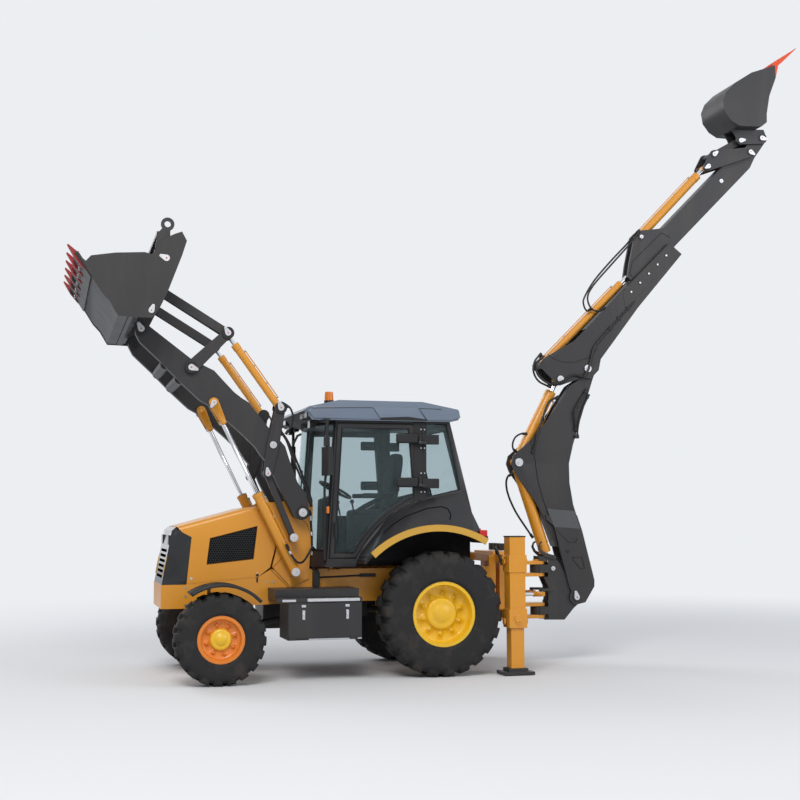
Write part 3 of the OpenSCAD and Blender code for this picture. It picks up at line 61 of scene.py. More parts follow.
# Side-view places of pins in machine millimetres: x forward from the rear axle, z up from the ground
ARM_PIN, LEVEL_PIN, CRANK_PIN = (1447, 1735), (1542, 1470), (1774, 2452)
LIFT_BASE, LIFT_ROD = (1520, 1106), (2407, 2893)
TILT_BASE, TILT_ROD = (1694, 2850), (2266, 3634)
JAW_BASE, JAW_ROD = (3110, 3764), (2840, 4500)
APEX, BOOM_ROD, BOOM_FOOT, DIPPER_PIN = (-1200, 2314), (-1611, 1086), (-1890, 752), (-2070, 3431)
DIPPER_ANGLE = 135.2
FRONT_WHEEL, REAR_WHEEL = (2370, 464), (0, 660)
ARM_Y = 560  # middle of each loader arm, its cranks and its cylinders
COLUMN_X, COLUMN_Y = -826, 962  # middle of each stabilizer column


def P(x, y, z):
    """Machine millimetres to the row frame's metres."""
    return Vector((x / 1000 + REAR_AXLE_X, y / 1000, z / 1000))


def dip(s, n):
    """Side-view point of the dipper: s along it, n out towards its cylinders."""
    a = math.radians(DIPPER_ANGLE)
    return (DIPPER_PIN[0] + s * math.cos(a) + n * math.sin(a), DIPPER_PIN[1] + s * math.sin(a) - n * math.cos(a))


CROWD_ROD, HOE_BASE, HOE_ROD = dip(-342, 151), dip(1681, 634), dip(2969, 656)


# Materials
# The colour sockets of a Mix node
COLOR_A, COLOR_B, COLOR_OUT = 6, 7, 2


def put(x, **values):
    """Sets a node's inputs; an underscore stands for a space in a name."""
    for k, v in values.items():
        x.inputs[k.replace("_", " ")].default_value = v
    return x


def node(nodes, kind, **values):
    """New shader node with its input values."""
    return put(nodes.new("ShaderNode" + kind), **values)


def material(name, base, rough, var, scale, bump, grime=None, grime_amt=0.0, metal=0.0, coat=0.0, trans=0.0,
             grain=180.0, streak=False, spec=0.5):
    """Painted or bare surface: cloudy colour and roughness, a fine bump, and dust where grime is given."""
    m = bpy.data.materials.new(name)
    m.use_nodes = True
    nt = m.node_tree
    n, l = nt.nodes, nt.links
    b = n["Principled BSDF"]
    tc = node(n, "TexCoord")
    src = tc.outputs["Object"]
    if streak:
        mp = node(n, "Mapping", Scale=(1.0, 1.0, 0.18))
        l.new(src, mp.inputs["Vector"])
        src = mp.outputs["Vector"]
    cloud = node(n, "TexNoise", Scale=scale, Detail=8)
    l.new(src, cloud.inputs["Vector"])
    fine = node(n, "TexNoise", Scale=grain, Detail=3)
    l.new(tc.outputs["Object"], fine.inputs["Vector"])
    mix = node(n, "Mix")
    mix.data_type = "RGBA"
    mix.inputs[COLOR_A].default_value = (*[c * (1 - var) for c in base], 1)
    mix.inputs[COLOR_B].default_value = (*[min(1.0, c * (1 + var)) for c in base], 1)
    l.new(cloud.outputs["Fac"], mix.inputs[0])
    col = mix.outputs[COLOR_OUT]
    if grime:
        g = node(n, "Mix")
        g.data_type = "RGBA"
        ramp = node(n, "ValToRGB")
        ramp.color_ramp.elements[0].position = 0.48
        ramp.color_ramp.elements[1].position = 0.78
        ramp.color_ramp.elements[1].color = (grime_amt, grime_amt, grime_amt, 1)
        dust = node(n, "TexNoise", Scale=scale * 0.6, Detail=10, Roughness=0.65)
        l.new(src, dust.inputs["Vector"])
        l.new(dust.outputs["Fac"], ramp.inputs["Fac"])
        l.new(ramp.outputs["Color"], g.inputs[0])
        l.new(col, g.inputs[COLOR_A])
        g.inputs[COLOR_B].default_value = (*grime, 1)
        col = g.outputs[COLOR_OUT]
    l.new(col, b.inputs["Base Color"])
    spread = node(n, "MapRange", To_Min=max(0.02, rough - 0.08), To_Max=min(1.0, rough + 0.1))
    l.new(cloud.outputs["Fac"], spread.inputs["Value"])
    l.new(spread.outputs["Result"], b.inputs["Roughness"])
    put(b, Metallic=metal, Coat_Weight=coat, Coat_Roughness=0.12, Specular_IOR_Level=spec, Transmission_Weight=trans)
    if bump > 0:
        bp = node(n, "Bump", Strength=bump * 8, Distance=0.001)
        l.new(fine.outputs["Fac"], bp.inputs["Height"])
        l.new(bp.outputs["Normal"], b.inputs["Normal"])
    return m


DUST = (0.32, 0.26, 0.18)
M = {
    "yellow": material("yellow paint", (0.66, 0.275, 0.018), 0.36, 0.05, 3.0, 0.012, DUST, 0.08, coat=0.22),
    "charcoal": material("charcoal paint", (0.030, 0.029, 0.031), 0.44, 0.14, 4.0, 0.015, DUST, 0.06, coat=0.04,
                         streak=True, spec=0.34),
    "cab": material("cab black", (0.017, 0.017, 0.020), 0.38, 0.15, 4.0, 0.01, DUST, 0.05, coat=0.06, spec=0.4),
    "roof": material("roof blue grey", (0.13, 0.165, 0.225), 0.42, 0.08, 3.0, 0.015, DUST, 0.10, coat=0.08),
    "gold": material("gold edge", (0.56, 0.31, 0.035), 0.4, 0.06, 4.0, 0.01, DUST, 0.08, coat=0.15),
    "rim": material("rear rim paint", (0.80, 0.47, 0.012), 0.36, 0.05, 5.0, 0.01, DUST, 0.12, coat=0.2),
    "rim_orange": material("front rim paint", (0.72, 0.20, 0.012), 0.36, 0.06, 5.0, 0.01, DUST, 0.12, coat=0.2),
    "tyre": material("tyre rubber", (0.018, 0.018, 0.019), 0.78, 0.22, 9.0, 0.05, (0.16, 0.13, 0.10), 0.22, grain=120,
                     spec=0.3),
    "rubber": material("black rubber", (0.012, 0.012, 0.012), 0.55, 0.2, 14.0, 0.02, spec=0.3),
    "plastic": material("black plastic", (0.014, 0.014, 0.015), 0.5, 0.15, 10.0, 0.03, spec=0.35),
    "chrome": material("chrome rod", (0.74, 0.75, 0.77), 0.14, 0.03, 20.0, 0.004, metal=1.0),
    "steel": material("pin steel", (0.40, 0.40, 0.41), 0.38, 0.12, 30.0, 0.01, (0.18, 0.12, 0.08), 0.2, metal=1.0),
    "alu": material("aluminium", (0.58, 0.59, 0.61), 0.42, 0.08, 30.0, 0.015, metal=0.85),
    "tooth_red": material("tooth dark red", (0.27, 0.010, 0.012), 0.45, 0.12, 12.0, 0.01, (0.2, 0.2, 0.2), 0.2,
                          spec=0.35),
    "tooth_orange": material("tooth orange red", (0.72, 0.075, 0.015), 0.42, 0.10, 12.0, 0.01, (0.25, 0.22, 0.2),
                             0.15, spec=0.35),
    "amber": material("amber lens", (0.90, 0.25, 0.01), 0.15, 0.05, 30.0, 0.0, trans=0.25, coat=0.3),
    "red_lens": material("red lens", (0.50, 0.012, 0.01), 0.18, 0.08, 60.0, 0.01, coat=0.3),
    "lens": material("clear lens", (0.66, 0.68, 0.70), 0.14, 0.08, 60.0, 0.02, coat=0.5, metal=0.2),
    "mirror": material("mirror face", (0.8, 0.82, 0.84), 0.04, 0.02, 8.0, 0.0, metal=1.0),
    "seat": material("seat cloth", (0.022, 0.023, 0.026), 0.85, 0.2, 30.0, 0.06, grain=420, spec=0.25),
    "hose": material("hose rubber", (0.010, 0.010, 0.011), 0.5, 0.25, 40.0, 0.03, DUST, 0.08, spec=0.35),
    "red": material("keeper mark", (0.55, 0.015, 0.012), 0.4, 0.08, 30.0, 0.01),
    "smoke": material("smoked lens", (0.012, 0.013, 0.015), 0.12, 0.2, 6.0, 0.0, coat=0.4),
    # Near black painted shade for depths: the grille's thin recessed parts, the sheet behind the grille and the
    # fender panel's edge line
    "depth_shade": material("painted depth shade", (0.003, 0.003, 0.003), 0.9, 0.2, 6.0, 0.0, spec=0.1),
    "band": material("grey band", (0.075, 0.080, 0.086), 0.42, 0.08, 6.0, 0.012, DUST, 0.06, coat=0.04, spec=0.35),
    "seam": material("seam shadow", (0.13, 0.055, 0.006), 0.7, 0.1, 10.0, 0.0, spec=0.2),
}


def glass_material():
    """Mostly clear, tinted glass with a share of gloss."""
    m = bpy.data.materials.new("tinted glass")
    m.use_nodes = True
    nt = m.node_tree
    n, l = nt.nodes, nt.links
    b = n["Principled BSDF"]
    clear = node(n, "BsdfTransparent", Color=(0.87, 0.92, 0.93, 1))
    cloud = node(n, "TexNoise", Scale=5.0)
    spread = node(n, "MapRange", To_Min=0.03, To_Max=0.08)
    l.new(cloud.outputs["Fac"], spread.inputs["Value"])
    l.new(spread.outputs["Result"], b.inputs["Roughness"])
    put(b, Base_Color=(0.16, 0.21, 0.22, 1), Coat_Weight=0.3)
    mx = node(n, "MixShader")
    mx.inputs[0].default_value = 0.11
    l.new(clear.outputs[0], mx.inputs[1])
    l.new(b.outputs[0], mx.inputs[2])
    l.new(mx.outputs[0], n["Material Output"].inputs["Surface"])
    return m


M["glass"] = glass_material()
NODE_BODY = {n: o["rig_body"] for n, o in frame["nodes"].items()}


# Helpers
def round_edges(o, width):
    """A bevel of two segments on every sharp edge."""
    md = o.modifiers.new("edge", "BEVEL")
    md.width = width
    md.segments = 2
    md.limit_method = "ANGLE"
    md.angle_limit = math.radians(40)
    return md


def add(me, name, mat, body, smooth=38.0, replaces=None):
    """Makes the mesh an object of that material on that body."""
    me.materials.clear()
    me.materials.append(M[mat])
    for p in me.polygons:
        p.use_smooth = True
    me.set_sharp_from_angle(angle=math.radians(smooth))
    o = bpy.data.objects.new(name, me)
    bpy.context.scene.collection.objects.link(o)
    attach(o, body)
    if replaces:
        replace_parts(o, replaces)
    return o


def skin(node, default, rules=(), bevel=0.0, smooth=38.0, even=False):
    """Shows a CAD node as one object for each material. rules: (test(centre, normal, part box), material)."""
    src = frame["nodes"][node]
    bm = bmesh.new()
    bm.from_mesh(src.data)
    bmesh.ops.remove_doubles(bm, verts=bm.verts, dist=2e-6)
    bm.faces.ensure_lookup_table()
    part = {}
    boxes = []
    for f in bm.faces:
        if f.index in part:
            continue
        part[f.index] = len(boxes)
        stack, points = [f], []
        while stack:
            for v in stack.pop().verts:
                points.append(v.co)
                for h in v.link_faces:
                    if h.index not in part:
                        part[h.index] = len(boxes)
                        stack.append(h)
        boxes.append([Vector(end(q[i] for q in points) for i in range(3)) for end in (min, max)])
    bm.normal_update()
    keys = {}
    for f in bm.faces:
        c = f.calc_center_median()
        k = default
        for test, mat in rules:
            if test(c, f.normal, boxes[part[f.index]]):
                k = mat
                break
        keys.setdefault(k, []).append(f.index)
    for k, idx in keys.items():
        sub = bm.copy()
        sub.faces.ensure_lookup_table()
        keep = set(idx)
        bmesh.ops.delete(sub, geom=[f for f in sub.faces if f.index not in keep], context="FACES")
        if bevel:
            bmesh.ops.dissolve_limit(sub, angle_limit=0.004, verts=sub.verts, edges=sub.edges)
        me = bpy.data.meshes.new(node + "_" + k)
        sub.to_mesh(me)
        sub.free()
        o = add(me, node + "_" + k, k, NODE_BODY[node], smooth, replaces=node)
        if bevel:
            md = round_edges(o, bevel)
            md.use_clamp_overlap = True
            md.harden_normals = True
        if even:
            o.modifiers.new("even", "WEIGHTED_NORMAL").keep_sharp = True
    bm.free()


KITS = []


class Kit:
    """Gathers small solids of one material on one body; done() makes them one object."""

    def __init__(self, name, mat, body, bevel=0.0):
        self.name, self.mat, self.body, self.bevel, self.bm = name, mat, body, bevel, bmesh.new()
        KITS.append(self)

    def box(self, p, q, rot=None, about=None):
        """Box between any two opposite corners."""
        c = (Vector(p) + Vector(q)) / 2
        s = [abs(v) for v in Vector(q) - Vector(p)]
        place = Matrix.Translation(c) @ Matrix.Diagonal((*s, 1))
        r = bmesh.ops.create_cube(self.bm, size=1.0, matrix=place)
        if rot:
            bmesh.ops.rotate(self.bm, verts=r["verts"], cent=about, matrix=rot)

    def cyl(self, a, b, r, n):
        """Round bar from a to b, with n sides."""
        a, b = Vector(a), Vector(b)
        d = b - a
        m = Matrix.Translation((a + b) / 2) @ d.to_track_quat("Z", "Y").to_matrix().to_4x4()
        bmesh.ops.create_cone(self.bm, cap_ends=True, segments=n, radius1=r, radius2=r, depth=d.length, matrix=m)

    def stud(self, x, z, y0, y1, r, n):
        """Round bar across the machine at the side-view point x, z."""
        self.cyl(P(x, y0, z), P(x, y1, z), r, n)

    def ball(self, c, r, n):
        bmesh.ops.create_uvsphere(self.bm, u_segments=n, v_segments=n // 2, radius=r, matrix=Matrix.Translation(c))

    def bolt(self, p, axis, r, h):
        """Hexagon head on a washer."""
        p, axis = Vector(p), Vector(axis).normalized()
        self.cyl(p, p + axis * h * 0.3, r * 1.25, 16)
        self.cyl(p + axis * h * 0.3, p + axis * h, r, 6)

    def tube(self, pts, r, n, closed=False):
        """Round bar along the points, with n sides."""
        pts = [Vector(p) for p in pts]
        rings = []
        count = len(pts)
        up = None
        for i, p in enumerate(pts):
            if closed:
                t = pts[(i + 1) % count] - pts[i - 1]
            else:
                t = pts[min(i + 1, count - 1)] - pts[max(i - 1, 0)]
            t = t.normalized()
            if up is None:
                up = t.orthogonal().normalized()
            up = (up - t * up.dot(t)).normalized()
            side = t.cross(up)
            rings.append([self.bm.verts.new(p + (up * math.cos(a) + side * math.sin(a)) * r)
                          for a in (2 * math.pi * k / n for k in range(n))])
        for i in range(count if closed else count - 1):
            near_ring, far_ring = rings[i], rings[(i + 1) % count]
            for k in range(n):
                k1 = (k + 1) % n
                self.bm.faces.new((near_ring[k], near_ring[k1], far_ring[k1], far_ring[k]))
        if not closed:
            self.bm.faces.new(list(reversed(rings[0])))
            self.bm.faces.new(rings[-1])

    def hose(self, ctrl, r):
        """Hose through the points with a ferrule at each end."""
        self.tube(spline(ctrl), r, 8)
        for a, b in ((ctrl[0], ctrl[1]), (ctrl[-1], ctrl[-2])):
            d = (Vector(b) - Vector(a)).normalized()
            self.cyl(Vector(a) - d * 0.005, Vector(a) + d * 0.05, r * 1.45, 12)

    def lines(self, y, points, r, closed=False):
        """The same thin line at widths y and -y."""
        for s in (1, -1):
            self.tube(at_y(s * y, points), r, 6, closed)

    def plate(self, pts, y0, y1):
        """Side-view outline in machine millimetres, extruded from y0 to y1."""
        a = [self.bm.verts.new(P(x, y0, z)) for x, z in pts]
        b = [self.bm.verts.new(P(x, y1, z)) for x, z in pts]
        self.bm.faces.new(a)
        self.bm.faces.new(list(reversed(b)))
        for i in range(len(pts)):
            j = (i + 1) % len(pts)
            self.bm.faces.new((a[j], a[i], b[i], b[j]))

    def done(self):
        """Makes the object from what was gathered."""
        bmesh.ops.recalc_face_normals(self.bm, faces=self.bm.faces)
        me = bpy.data.meshes.new(self.name)
        self.bm.to_mesh(me)
        self.bm.free()
        o = add(me, self.name, self.mat, self.body)
        if self.bevel:
            round_edges(o, self.bevel)
        return o


def spline(ctrl):
    """Catmull-Rom curve through the points, ten steps to each span."""
    c = [Vector(p) for p in ctrl]
    c = [c[0] * 2 - c[1]] + c + [c[-1] * 2 - c[-2]]
    out = []
    for i in range(1, len(c) - 2):
        for k in range(10):
            t = k / 10
            p0, p1, p2, p3 = c[i - 1], c[i], c[i + 1], c[i + 2]
            square, cube = 2 * p0 - 5 * p1 + 4 * p2 - p3, 3 * p1 - p0 - 3 * p2 + p3
            out.append(0.5 * ((2 * p1) + (p2 - p0) * t + square * t * t + cube * t ** 3))
    out.append(c[-2])
    return out


# Skins that show the CAD nodes
def near(x, z, r):
    """Faces within r of the side-view point x, z, in machine millimetres."""
    q = P(x, 0, z)

    def test(c, n, b):
        return (c.x - q.x) ** 2 + (c.z - q.z) ** 2 < (r / 1000) ** 2
    return test


EDGE = 0.004  # usual rounding of plate edges, in metres


def wheel_rules(centre, limit, cap_r, rim):
    """Hub cap, then rim, for the parts of a wheel that are smaller across than its tyre."""
    cap = near(*centre, cap_r)

    def inner(c, n, b):
        return b[1].z - b[0].z < 2 * limit / 1000
    return [(lambda c, n, b: inner(c, n, b) and cap(c, n, b), "rim"), (inner, rim)]


for side in ("left", "right"):
    skin("wheel_front_" + side, "tyre", wheel_rules(FRONT_WHEEL, 300, 112, "rim_orange"), smooth=32)
    skin("wheel_rear_" + side, "tyre", wheel_rules(REAR_WHEEL, 400, 172, "rim"), smooth=32)


def along(p, q, r):
    """Faces within r of the side-view line from p to q, in machine millimetres."""
    a, b = P(p[0], 0, p[1]), P(q[0], 0, q[1])
    d = b - a

    def test(c, n, box):
        u = max(0.0, min(1.0, ((c.x - a.x) * d.x + (c.z - a.z) * d.z) / d.length_squared))
        return math.hypot(c.x - a.x - d.x * u, c.z - a.z - d.z * u) < r / 1000
    return test


skin("main_frame", "yellow", [(lambda c, n, b: abs(c.y) > 0.606 and n.y != 0 and c.z > 1.0, "steel")], bevel=EDGE)
skin("engine_block", "charcoal", bevel=0.01)
for n in ("front_axle", "rear_axle"):
    skin(n, "yellow")
skin("rear_frame", "yellow", [(lambda c, n, b: c.z > 1.471 and n.z > 0.9, "plastic")], bevel=EDGE)
skin("cab_frame", "cab",
     [(lambda c, n, b: (b[0].y > 1.05 or b[1].y < -1.05) and abs(b[1].y - b[0].y) < 0.05, "gold")],
     smooth=30, even=True)
skin("cab_roof", "roof", [(lambda c, n, b: n.z < -0.15, "plastic")], bevel=0.012)
skin("cab_glass", "glass")
skin("steering_console", "plastic", bevel=EDGE)
skin("fuel_tank", "charcoal", bevel=0.02)
skin("lamps", "plastic", [(lambda c, n, b: b[0].z > 2.9 and c.z > 2.9681, "amber"),
                          (lambda c, n, b: b[1].x < 0.1, "red_lens"),
                          (lambda c, n, b: b[0].x > 1.75 and b[1].z < 2.716 and b[0].z > 2.6
                           and abs(c.y) < 0.7 and n.x > 0.5, "lens")], bevel=0.003)
skin("hood", "yellow", bevel=0.008)
# The grille's parts thinner than 20 mm across are drawn near black as painted depth shade
skin("grille", "smoke", [(lambda c, n, b: (b[1].y - b[0].y) < 0.02, "depth_shade"),
                         (lambda c, n, b: n.x > 0.9 and c.z > 1.40 and 0.24 < abs(c.y) < 0.41, "lens")], bevel=EDGE)
around_tyre = near(*FRONT_WHEEL, 524)
for s in ("left", "right"):
    skin("door_" + s, "cab", [(lambda c, n, b: b[1].y - b[0].y < 0.012, "glass"),
                              (lambda c, n, b: b[1].z - b[0].z < 0.1, "plastic")])
    skin("knuckle_" + s, "yellow", [(lambda c, n, b: not around_tyre(c, n, b), "plastic")])
    skin("stabilizer_" + s, "yellow", [(lambda c, n, b: c.z < 0.076, "charcoal")], bevel=EDGE)
    skin("swing_rod_" + s, "chrome", [(lambda c, n, b: c.x < P(-1336, 0, 0).x, "yellow")])
for n in ("loader_arms", "level_links", "front_cranks", "rear_cranks", "bucket_links", "swing_post", "boom",
          "hoe_lever", "hoe_link", "bucket_back", "driveline", "toolbox", "toolbox_lid"):
    skin(n, "charcoal", bevel=EDGE)
rod_line, barrel_line = along(dip(-200, 405), dip(1215, 405), 32), along(dip(-330, 405), dip(1090, 405), 47)


def inner_rod(c, n, b):
    """Faces of the extension cylinder's rod."""
    return abs(c.y) < 0.028 and rod_line(c, n, b)


def outer_barrel(c, n, b):
    """Faces of the extension cylinder's barrel."""
    return abs(c.y) < 0.046 and barrel_line(c, n, b)


skin("dipper_inner", "charcoal", [(inner_rod, "chrome")], bevel=EDGE)
skin("dipper_outer", "charcoal", [(outer_barrel, "yellow")], bevel=EDGE)


TEETH_SPAN = 2.2  # between the middles of the loader bucket's outermost teeth, in metres


def jaw_tooth(c, n, b):
    """Faces of the jaw's six teeth, which stand on its cutting edge."""
    on_tooth = any(abs(c.y - (i / 5 - 0.5) * TEETH_SPAN) < 0.0375 for i in range(6))
    return c.x > P(3868, 0, 0).x or on_tooth and c.x > P(3742, 0, 0).x and 4.15 < c.z < 4.33


skin("bucket_jaw", "charcoal", [(jaw_tooth, "tooth_red")], bevel=EDGE)
skin("hoe_bucket", "charcoal", [(lambda c, n, b: c.x < P(-4563, 0, 0).x and c.z > 7.262, "tooth_orange")], bevel=EDGE)
for n in ("lift_barrels", "tilt_barrels", "jaw_barrels", "boom_barrel", "crowd_barrel", "hoe_barrel", "carriage"):
    skin(n, "yellow", bevel=0.002 if n != "carriage" else EDGE)
for n, pin, r in (("tilt_rods", TILT_ROD, 43), ("jaw_rods", JAW_ROD, 37), ("boom_rod", BOOM_ROD, 47),
                  ("crowd_rod", CROWD_ROD, 47), ("hoe_rod", HOE_ROD, 36)):
    skin(n, "chrome", [(near(*pin, r), "yellow")])
near_clevis = near(*LIFT_ROD, 260)


def clevis(c, n, b):
    """Faces of the lift rod's forked end, which is wider than the rod."""
    side = abs(abs(c.y) - ARM_Y / 1000)
    return side > 0.05 or near_clevis(c, n, b) and side > 0.025


skin("lift_rods", "chrome", [(clevis, "yellow")])
for n in ("tilt_pins", "crank_pins", "link_pins", "bucket_pins"):
    skin(n, "plastic", bevel=0.003)


# Details, each on the body that carries it
def link_outline(p, q, rp, rq):
    """Side-view outline of a plate drawn between two round ends."""
    a = math.atan2(q[1] - p[1], q[0] - p[0])
    g = math.acos((rp - rq) / math.hypot(q[0] - p[0], q[1] - p[1]))
    out = []
    for c, r, a0, a1 in ((p, rp, a + g, a + 2 * math.pi - g), (q, rq, a - g, a + g)):
        turns = [a0 + (a1 - a0) * i / 10 for i in range(11)]
        out += [(c[0] + r * math.cos(v), c[1] + r * math.sin(v)) for v in turns]
    return out


def keepers(body, items, tag=""):
    """Silver pin keepers. items: (x, z, face y, angle of the tail or None for a round cap, radius)."""
    plate = Kit(body + tag + "_keepers", "alu", body, 0.0015)
    dot = Kit(body + tag + "_keeper_marks", "red", body)
    for s in (1, -1):
        for x, z, y, a, r in items:
            if a is None:
                plate.stud(x, z, s * (y - 2), s * (y + 5), r / 1000, 28)
                plate.stud(x, z, s * (y + 4), s * (y + 8), r * 0.55 / 1000, 24)
                dot.stud(x, z, s * (y + 7), s * (y + 9), 0.005, 10)
            else:
                t = (x + 1.75 * r * math.cos(math.radians(a)), z + 1.75 * r * math.sin(math.radians(a)))
                plate.plate(link_outline((x, z), t, r, r * 0.5), s * (y - 1), s * (y + 7))
                plate.stud(t[0], t[1], s * (y + 6), s * (y + 8.9), r * 0.26 / 1000, 6)
                dot.stud(x, z, s * (y + 6), s * (y + 8.8), r * 0.24 / 1000, 14)


keepers("chassis", [(*ARM_PIN, 624, None, 44), (*LEVEL_PIN, 624, None, 42), (*LIFT_BASE, 624, None, 44)],
        tag="_loader")
keepers("rear_cranks", [(*CRANK_PIN, 642, None, 38), (1828, 2148, 642, 80, 30)])
keepers("tilt_pins", [(*TILT_BASE, 650, 70, 34)])
keepers("lift_rods", [(*LIFT_ROD, 642, -60, 30)])
keepers("crank_pins", [(2648, 3257, 650, 200, 34)])
keepers("link_pins", [(*TILT_ROD, 650, 60, 32)])
keepers("bucket_pins", [(3172, 3647, 650, 60, 34)])
keepers("bucket_back", [(2965, 4057, 642, 100, 30)])
keepers("bucket_jaw", [(2967, 4304, 1160, 20, 34), (*JAW_BASE, 1160, 110, 30)])
keepers("boom", [(*APEX, 108, None, 48)])
keepers("swing_post", [(*BOOM_FOOT, 131, 75, 34), (*BOOM_ROD, 99, None, 26)])
keepers("dipper_outer", [(*CROWD_ROD, 133, None, 40), (*DIPPER_PIN, 133, None, 44)])
keepers("dipper_inner", [(*HOE_BASE, 90, None, 24), (*dip(3000, 401), 82, None, 26)])
keepers("hoe_lever", [(*HOE_ROD, 144, -30, 28), (*dip(3540, 401), 144, 210, 30)])
keepers("hoe_link", [(*dip(3137, 708), 144, 140, 28)])
keepers("hoe_bucket", [(*dip(3807, 414), 118, 190, 32), (*dip(3562, 586), 115, 170, 30)])

boss = Kit("arm_pivot_bosses", "plastic", "arms", 0.002)
for s in (1, -1):
    boss.stud(ARM_PIN[0], ARM_PIN[1], s * 609, s * 615, 0.074, 40)


def box_at(kit, x0, x1, y0, y1, z0, z1):
    """A box on each side of the machine."""
    for s in (1, -1):
        kit.box(P(x0, s * y0, z0), P(x1, s * y1, z1))


def hoses(kit, lines, r, both=True):
    """Hoses through machine points, on both sides or as written."""
    for s in (1, -1) if both else (1,):
        for line in lines:
            kit.hose([P(x, s * y, z) for x, y, z in line], r)


def at_y(y, points):
    """Side-view points placed at width y."""
    return [P(x, y, z) for x, z in points]


def toward(p, q):
    """Unit vector of the side view from p to q."""
    return Vector((q[0] - p[0], 0, q[1] - p[1])).normalized()


# Windscreen: radius of its bend and half its width
SCREEN_R, SCREEN_HALF = 1410.0, 724.0


def screen(y, z, off):
    """Point at width y and height z, off in front of the windscreen's outer surface."""
    pillar = 1215 + (z - 1240) * (1120 - 1215) / (2715 - 1240)
    bulge = math.sqrt((SCREEN_R + off) ** 2 - y * y) - math.sqrt(SCREEN_R ** 2 - SCREEN_HALF ** 2)
    return P(pillar + bulge, y, z)


gasket = Kit("windscreen_gasket", "rubber", "chassis")
edge = [-722 + 1444 * i / 24 for i in range(25)]
for z in (1338, 2684):
    gasket.tube([screen(y, z, 1) for y in edge], 0.012, 8)
for s in (1, -1):
    gasket.tube([screen(s * 718, z, 2) for z in range(1330, 2700, 85)], 0.014, 8)
wiper = Kit("windscreen_wiper", "plastic", "chassis")
wiper.cyl(screen(-260, 1345, -6), screen(-260, 1345, 42), 0.022, 16)
wiper.tube([screen(-260, 1345, 34), screen(-200, 1420, 34), screen(40, 1780, 26), screen(110, 1880, 14)], 0.008, 8)
wiper.tube([screen(110, z, 9) for z in range(1600, 2201, 150)], 0.007, 6)

# Door: gasket round the glass, handle, hinge covers
DOOR = [(900, 1252), (1192, 1252), (1108, 2690), (262, 2690), (200, 1880), (262, 1842), (340, 1802), (430, 1752),
        (520, 1693), (610, 1620), (700, 1532), (790, 1425)]


def inset(points, d):
    """Outline moved inwards by d, corner by corner, for an outline that runs anticlockwise."""
    out = []
    n = len(points)
    for i in range(n):
        a, b, c = (Vector(points[(i + k) % n]) for k in (-1, 0, 1))
        u, v = (b - a).normalized(), (c - b).normalized()
        nu, nv = Vector((-u.y, u.x)), Vector((-v.y, v.x))
        m = (nu + nv).normalized()
        out.append(b + m * d / max(0.35, m.dot(nu)))
    return out


for s, side in ((1, "left"), (-1, "right")):
    g = Kit("door_gasket_" + side, "rubber", "door_" + side)
    for d, y, r in ((56, 769, 0.009), (6, 770, 0.006)):
        g.tube([P(q.x, s * y, q.y) for q in inset(DOOR, d)], r, 6, closed=True)
    h = Kit("door_handle_" + side, "plastic", "door_" + side)
    for z in (1500, 1600):
        h.stud(1128, z, s * 768, s * 800, 0.012, 12)
    h.tube([P(1128, s * 800, 1470), P(1128, s * 806, 1550), P(1128, s * 800, 1630)], 0.014, 10)
    c = Kit("door_hinge_cover_" + side, "plastic", "door_" + side, 0.022)
    f = Kit("cab_hinge_cover_" + side, "plastic", "chassis", 0.008)
    screws = Kit("cab_hinge_screws_" + side, "alu", "chassis")
    for z in (2514, 2040):
        zc = z + 16
        c.box(P(226, s * 790, zc - 52), P(468, s * 840, zc + 52))
        c.box(P(240, s * 768, zc - 24), P(440, s * 800, zc + 24))
        f.box(P(-6, s * 790, zc - 62), P(182, s * 840, zc + 42))
        f.box(P(10, s * 768, zc - 50), P(150, s * 800, zc + 30))
        for dx in (-20, 20):
            for dz in (-100, 102):
                screws.stud(160 + dx, zc + dz, s * 773, s * 778, 0.0075, 14)
    f.box(P(118, s * 764, 1858), P(264, s * 775, 2712))

# Quarter and rear window gaskets
g = Kit("quarter_window_gaskets", "rubber", "chassis")
g.lines(769, ((120, 1900), (180, 2690), (-112, 2690), (-262, 1985)), 0.010, closed=True)
g.tube([P(-405 + (z - 1700) * 0.2447, y, z) for y, z in ((-596, 1704), (596, 1704), (596, 2636), (-596, 2636))],
       0.011, 6, closed=True)

# Roof: side pads, hatch, front lamps, beacon ribs
r = Kit("roof_side_pads", "roof", "chassis", 0.008)
d = Kit("roof_side_recess", "plastic", "chassis")
FRONT_PAD = [(1375, 2728), (1440, 2812), (1400, 2836), (1050, 2846), (760, 2852), (726, 2852), (646, 2728)]
REAR_PAD = [(124, 2728), (218, 2854), (-40, 2850), (-240, 2842), (-256, 2760), (-140, 2728)]
for s in (1, -1):
    for outline in (FRONT_PAD, REAR_PAD):
        r.plate(outline, s * 812, s * 829)
    d.plate([(646, 2722), (640, 2750), (338, 2764), (128, 2738), (124, 2722)], s * 812, s * 822)
    for line in (FRONT_PAD[2:], REAR_PAD[:3]):
        d.tube(at_y(s * 822, line), 0.006, 6)
h = Kit("roof_hatch", "plastic", "chassis", 0.006)
h.box(P(20, -330, 2930), P(470, 330, 2952))
h.box(P(60, -290, 2950), P(430, 290, 2962))
h.box(P(880, -300, 2930), P(1010, 380, 2948))
lamp = Kit("roof_front_lamps", "lens", "chassis", 0.002)
shell = Kit("roof_front_lamp_shells", "plastic", "chassis", 0.006)
for s in (1, -1):
    for y in (430, 640):
        shell.box(P(1372, s * y, 2728), P(1446, s * (y + 150), 2800))
        lamp.box(P(1440, s * (y + 10), 2742), P(1451, s * (y + 140), 2796))
BEACON_X, BEACON_Y = 1098, 300
ribs = Kit("beacon_ribs", "amber", "chassis")
for i in range(12):
    a = 2 * math.pi * i / 12
    foot, top = (P(BEACON_X + r * math.cos(a), BEACON_Y + r * math.sin(a), z) for r, z in ((47, 2970), (41, 3062)))
    ribs.cyl(foot, top, 0.004, 6)

